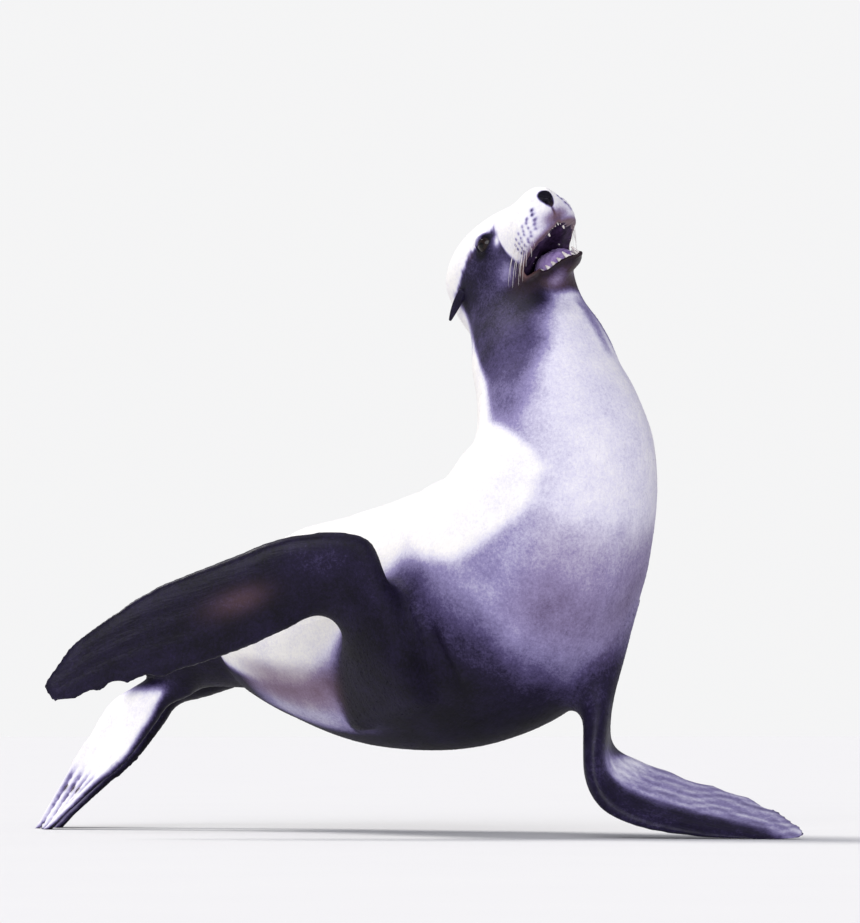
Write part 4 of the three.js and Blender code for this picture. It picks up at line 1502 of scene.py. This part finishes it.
def tuft_template():
    """A three-sided spike along +X, closed at both ends, 1 long and nearly 1 wide at its root."""
    edit = bmesh.new()
    bmesh.ops.create_cone(edit, cap_ends=True, segments=3, radius1=0.5, radius2=0.06, depth=1)
    bmesh.ops.transform(edit, matrix=Matrix.Rotation(math.pi / 2, 4, "Y"), verts=edit.verts)
    bmesh.ops.translate(edit, vec=(0.5, 0, 0), verts=edit.verts)
    bmesh.ops.triangulate(edit, faces=edit.faces)
    bmesh.ops.recalc_face_normals(edit, faces=edit.faces)
    shape = np.array([v.co for v in edit.verts])
    faces = np.array([[v.index for v in f.verts] for f in edit.faces])
    edit.free()
    return shape, faces


shape, faces = tuft_template()
print("a tuft has", len(shape), "points and", len(faces), "faces")

# %% [markdown]
# Tufts root where hair grows: not in the mouth, nor on lips, nose and flippers. The chance
# of a triangle is its area times its hair, so the coat is even whatever the faces' size.

# %% Where tufts root
triangles = skin.data.loop_triangles
corners = read(triangles, "vertices", 3, np.int32)
loops = read(triangles, "loops", 3, np.int32)
uv = read(skin.data.uv_layers["OFBake"].uv, "vector", 2).astype(float)
co, outward = places(skin.data), normals(skin.data)
first, second, third = (co[corners[:, i]] for i in range(3))
area = np.linalg.norm(np.cross(second - first, third - first), axis=1)
haired = 1 - smooth_step(masks[:, 2], 0.35, 0.75)
haired *= ~lining * smooth_step(rim_distance, 6, 14)
chance = area * haired[corners].mean(axis=1)


def blend_corners(values, picked, share):
    """Values at roots inside triangles, from the three corners' values and shares."""
    return np.einsum("ij,ijk->ik", share, values[picked])


print("hair grows on", round(100 * chance.sum() / area.sum()), "percent of the skin")


# %% Tufts
def tuft_places(picked, share):
    """The points of every tuft: rooted in the skin and leaning along the hair."""
    count = len(picked)
    root = blend_corners(co, picked, share)
    up = unit(blend_corners(outward, picked, share))
    way = blend_corners(flow, picked, share)
    way = unit(way - up * np.sum(way * up, axis=1)[:, None])
    side = np.cross(up, way)
    stray = random.normal(0, 0.16, count)[:, None]
    way = unit(way + side * stray + up * (0.10 + 0.08 * random.random(count))[:, None])
    side = unit(np.cross(up, way))
    over = np.cross(way, side)
    long = TUFT_LENGTH * (0.7 + 0.6 * random.random(count))
    long *= np.where(np.isin(names[picked[:, 0]], ("skull", "jaw")), HEAD_SHARE, 1.0)
    wide = TUFT_WIDTH * (0.7 + 0.6 * random.random(count))
    root = root - up * ROOT_DEPTH
    local = shape[None] * np.stack([long, wide, wide * 0.7], 1)[:, None, :]
    spots = root[:, None] + local[..., :1] * way[:, None] + local[..., 1:2] * side[:, None]
    spots = spots + local[..., 2:] * over[:, None]
    spots[..., 2] = np.maximum(spots[..., 2], FLOOR_LEVEL)
    return spots


def tuft_mesh(name, spots):
    """A mesh of many copies of the template, and the point of each of its corners."""
    count, total = spots.shape[:2]
    index = (faces[None] + (np.arange(count) * total)[:, None, None]).reshape(-1)
    mesh = bpy.data.meshes.new(name)
    mesh.vertices.add(count * total)
    mesh.vertices.foreach_set("co", spots.ravel())
    mesh.loops.add(len(index))
    mesh.loops.foreach_set("vertex_index", index)
    mesh.polygons.add(len(index) // 3)
    mesh.polygons.foreach_set("loop_start", np.arange(0, len(index), 3))
    mesh.update(calc_edges=True)
    return mesh, index


def tuft_piece(name, count):
    """One piece of coat, whose tufts carry the skin's masks and a patch of its unwrap."""
    face = random.choice(len(corners), count, p=chance / chance.sum())
    share = random.dirichlet((1, 1, 1), count)
    picked = corners[face]
    mesh, index = tuft_mesh(name, tuft_places(picked, share))
    inner = shape[:, :2] - shape[:, :2].mean(axis=0)
    patches = blend_corners(uv, loops[face], share)[:, None]
    patches = patches + inner[None] * PATCH / np.ptp(inner, axis=0).max()
    layer = mesh.uv_layers.new(name="OFBake")
    layer.uv.foreach_set("vector", patches.reshape(-1, 2)[index].ravel())
    spread = [np.repeat(blend_corners(v, picked, share), len(shape), axis=0) for v in (masks, lie)]
    store_masks(mesh, *spread)
    made = bpy.data.objects.new(name, mesh)
    bpy.context.scene.collection.objects.link(made)
    return made


coat = [tuft_piece(f"coat_{index}", TUFTS_A_PIECE) for index in range(TUFT_PIECES)]
print("coat", sum(len(piece.data.polygons) for piece in coat), "faces in", len(coat), "pieces")

# %% [markdown]
# ## Materials of the coat
# Hair is grain drawn out along the straightened body, and bare hide is finely wrinkled.
# Both are the same kind of relief, two textures of the lie added up, so one function makes
# both groups. The groups give only a height. Displacing real faces this fine would cost
# far more than the whole model may have.

# %% Shared grain groups
def grain_group(name, stretch, share, layers):
    """A node group: a height from two textures of the lie, drawn out along the body."""
    made = bpy.data.node_groups.new(name, "ShaderNodeTree")
    made.interface.new_socket("Height", in_out="OUTPUT", socket_type="NodeSocketFloat")
    drawn = node(made, "Mapping", Scale=(stretch, 1.0, 1.0))
    both = node(made, "Math", {1: share}, operation="MULTIPLY_ADD")
    wire(node(made, "Attribute", attribute_name="lie"), "Vector > Vector", drawn)
    for (kind, out, settings), into in zip(layers, (0, 2)):
        wire(drawn, "Vector > Vector", node(made, kind, **settings), f"{out} > {into}", both)
    wire(both, "0 > Height", made.nodes.new("NodeGroupOutput"))
    return made


hair_grain = grain_group("hair grain", 0.16, 0.6, [
    ("TexNoise", "Fac", dict(Scale=900.0, Detail=5.0, Roughness=0.7)),
    ("TexNoise", "Fac", dict(Scale=160.0, Detail=3.0)),
])
hide_grain = grain_group("hide wrinkles", 0.22, 0.45, [
    ("TexVoronoi", "Distance", dict(feature="DISTANCE_TO_EDGE", Scale=190.0)),
    ("TexNoise", "Fac", dict(Scale=60.0, Detail=5.0, Roughness=0.65)),
])
print("groups", [hair_grain.name, hide_grain.name])

# %% [markdown]
# The tone is broken up by two mottlings, so that no border is sharp, and a ramp turns it
# into colours from black through violet grey to cream. Where the mask warm says so the
# colour moves to brown, and where bare says so the surface is smoother and wrinkled. One
# material serves skin, ears and tufts, so they can't drift apart.

# %% Coat and hide
TONE_COLOURS = [
    (0.0, (0.003, 0.002, 0.007)), (0.14, (0.012, 0.008, 0.030)), (0.32, (0.075, 0.059, 0.150)),
    (0.55, (0.27, 0.237, 0.43)), (0.78, (0.66, 0.64, 0.76)), (1.0, (0.92, 0.90, 0.87)),
]
BROWN = (0.22, 0.115, 0.100, 1)
MOTTLE = 0.40
HAIR_ROUGHNESS, HIDE_ROUGHNESS = 0.62, 0.38
coat_look, tree, shader = material("coat and hide", Specular_IOR_Level=0.15)
tone_mask, warm_mask, bare_mask = (
    node(tree, "Attribute", attribute_name=name) for name in ("tone", "warm", "bare")
)
hair = node(tree, "Group", node_tree=hair_grain)
hide = node(tree, "Group", node_tree=hide_grain)
place = node(tree, "TexCoord")
mottle = node(tree, "TexNoise", Scale=17.0, Detail=9.0, Roughness=0.68)
specks = node(tree, "TexNoise", Scale=230.0, Detail=4.0, Roughness=0.85)
shift = node(tree, "Math", {1: MOTTLE}, operation="MULTIPLY_ADD")
fine = node(tree, "Math", {1: MOTTLE}, operation="MULTIPLY_ADD")
settle = node(tree, "Math", {1: MOTTLE}, operation="SUBTRACT")
colours = ramp(tree, TONE_COLOURS)
brown = node(tree, "Mix", {7: BROWN}, data_type="RGBA")
brown_share = node(tree, "Math", {1: 0.75}, operation="MULTIPLY")
rough = node(tree, "MapRange", {3: HAIR_ROUGHNESS, 4: HIDE_ROUGHNESS})
height = node(tree, "Mix", data_type="FLOAT")
relief = node(tree, "Bump", Strength=0.55, Distance=0.0016)
wire(place, "Object > Vector", mottle, "Fac > 0", shift, "0 > 2", fine, "0 > 0", settle)
wire(place, "Object > Vector", specks, "Fac > 0", fine)
wire(tone_mask, "Fac > 2", shift)
wire(settle, "0 > Fac", colours, "Color > 6", brown, "2 > Base Color", shader)
wire(warm_mask, "Fac > 0", brown_share, "0 > 0", brown)
wire(bare_mask, "Fac > Value", rough, "0 > Roughness", shader)
wire(bare_mask, "Fac > 0", height, "0 > Height", relief, "Normal > Normal", shader)
wire(hair, "Height > 2", height)
wire(hide, "Height > 3", height)
print("coat look has", len(tree.nodes), "nodes")

# %% [markdown]
# ## Materials of mouth, teeth, claws and eyes
# The lining and the tongue are moist flesh, darker in blotches. Enamel, claw and
# whisker horn differ from it only in colour, grain and gloss, so one function makes all
# five. The eye is nearly black and as glossy as glass, with its rings measured from the
# pole of the ball.

# %% Flesh, enamel and horn
def blotched(name, low, high, scale, strength, roughness, shine=0.4):
    """A smooth surface: two colours in blotches, and a fine uneven relief."""
    made, tree, shader = material(name, Roughness=roughness, Specular_IOR_Level=shine)
    place = node(tree, "TexCoord")
    blotch = node(tree, "TexNoise", Scale=scale, Detail=6.0, Roughness=0.6)
    colours = ramp(tree, [(0.35, low), (0.65, high)])
    fine = node(tree, "TexNoise", Scale=scale * 7, Detail=4.0)
    relief = node(tree, "Bump", Strength=strength, Distance=0.001)
    wire(place, "Object > Vector", blotch, "Fac > Fac", colours, "Color > Base Color", shader)
    wire(place, "Object > Vector", fine, "Fac > Height", relief, "Normal > Normal", shader)
    return made


lining_look = blotched("mouth lining", (0.012, 0.006, 0.018), (0.065, 0.034, 0.095), 70, 0.5, 0.6, 0.05)
tongue_look = blotched("tongue flesh", (0.22, 0.14, 0.36), (0.42, 0.31, 0.58), 90, 0.6, 0.35)
teeth_look = blotched("enamel", (0.62, 0.56, 0.52), (0.84, 0.80, 0.78), 160, 0.15, 0.22)
claw_look = blotched("claw", (0.03, 0.02, 0.03), (0.12, 0.09, 0.10), 240, 0.2, 0.35)
whisker_look = blotched("whisker", (0.55, 0.50, 0.48), (0.86, 0.82, 0.80), 60, 0.1, 0.4)
print("looks for mouth, teeth, claws and whiskers")

# %% Eye
EYE_RINGS = [  # angle from the pole in radians: pupil, iris, its dark rim, and the ball round it
    (0.0, (0.002, 0.002, 0.003)), (0.26, (0.003, 0.002, 0.003)), (0.32, (0.014, 0.007, 0.006)),
    (0.62, (0.009, 0.005, 0.005)), (0.70, (0.02, 0.014, 0.014)),
]
eye_look, tree, shader = material("eye", Roughness=0.06, Specular_IOR_Level=0.22)
pole = node(tree, "Attribute", attribute_name="from_pole")
place = node(tree, "TexCoord")
fibres = node(tree, "TexNoise", Scale=300.0, Detail=4.0)
rings = ramp(tree, EYE_RINGS)
wobble = node(tree, "Math", {1: 0.05}, operation="MULTIPLY_ADD")
wire(place, "Object > Vector", fibres, "Fac > 0", wobble, "0 > Fac", rings, "Color > Base Color", shader)
wire(pole, "Fac > 2", wobble)
print("eye look has", len(tree.nodes), "nodes")

# %% [markdown]
# ## Dress and attach
# Each piece gets its look, rides the frame's one body, and hides the named parts of the
# frame it stands in for. The skin takes the place of all flesh. Teeth, whiskers, claws and
# tufts stand in for nothing, because the frame leaves them out.

# %% Dress every piece
EAR_MASKS = [0.10, 0.0, 0.55]  # tone, warm and bare of the ears
skin.data.materials.clear()
for look in (coat_look, lining_look):
    skin.data.materials.append(look)
skin.data.polygons.foreach_set("material_index", face_slot)
for ear in ears:
    spots = places(ear.data)
    store_masks(ear.data, np.tile(EAR_MASKS, (len(spots), 1)), spots)

FLESH = ["head", "lower_jaw", "neck_upper", "neck_lower", "chest", "belly", "hindquarters", "tail",
         "fore_arm_right", "fore_hand_right", "fore_arm_left", "fore_hand_left",
         "hind_flipper_right", "hind_flipper_left"]
DRESS = [(skin, "coat", None, FLESH), (eyes["left"], "eye", eye_look, ["eye_left"]),
         (eyes["right"], "eye", eye_look, ["eye_right"]), (tongue, "tongue", tongue_look, ["tongue"]),
         (ears[0], "hide", coat_look, ["ear_left"]), (ears[1], "hide", coat_look, ["ear_right"]),
         (whiskers, "whiskers", whisker_look, []), (claws, "claws", claw_look, [])]
DRESS += [(piece, "teeth", teeth_look, []) for piece in teeth]
DRESS += [(piece, "coat", coat_look, []) for piece in coat]
for piece, slot, look, nodes in DRESS:
    if look:
        piece.data.materials.append(look)
    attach(piece, "root")
    if nodes:
        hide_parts(*nodes)
total = sum(len(f.vertices) - 2 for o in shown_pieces() if o.type == "MESH" for f in o.data.polygons)
print(len(DRESS), "pieces,", total, "triangles")
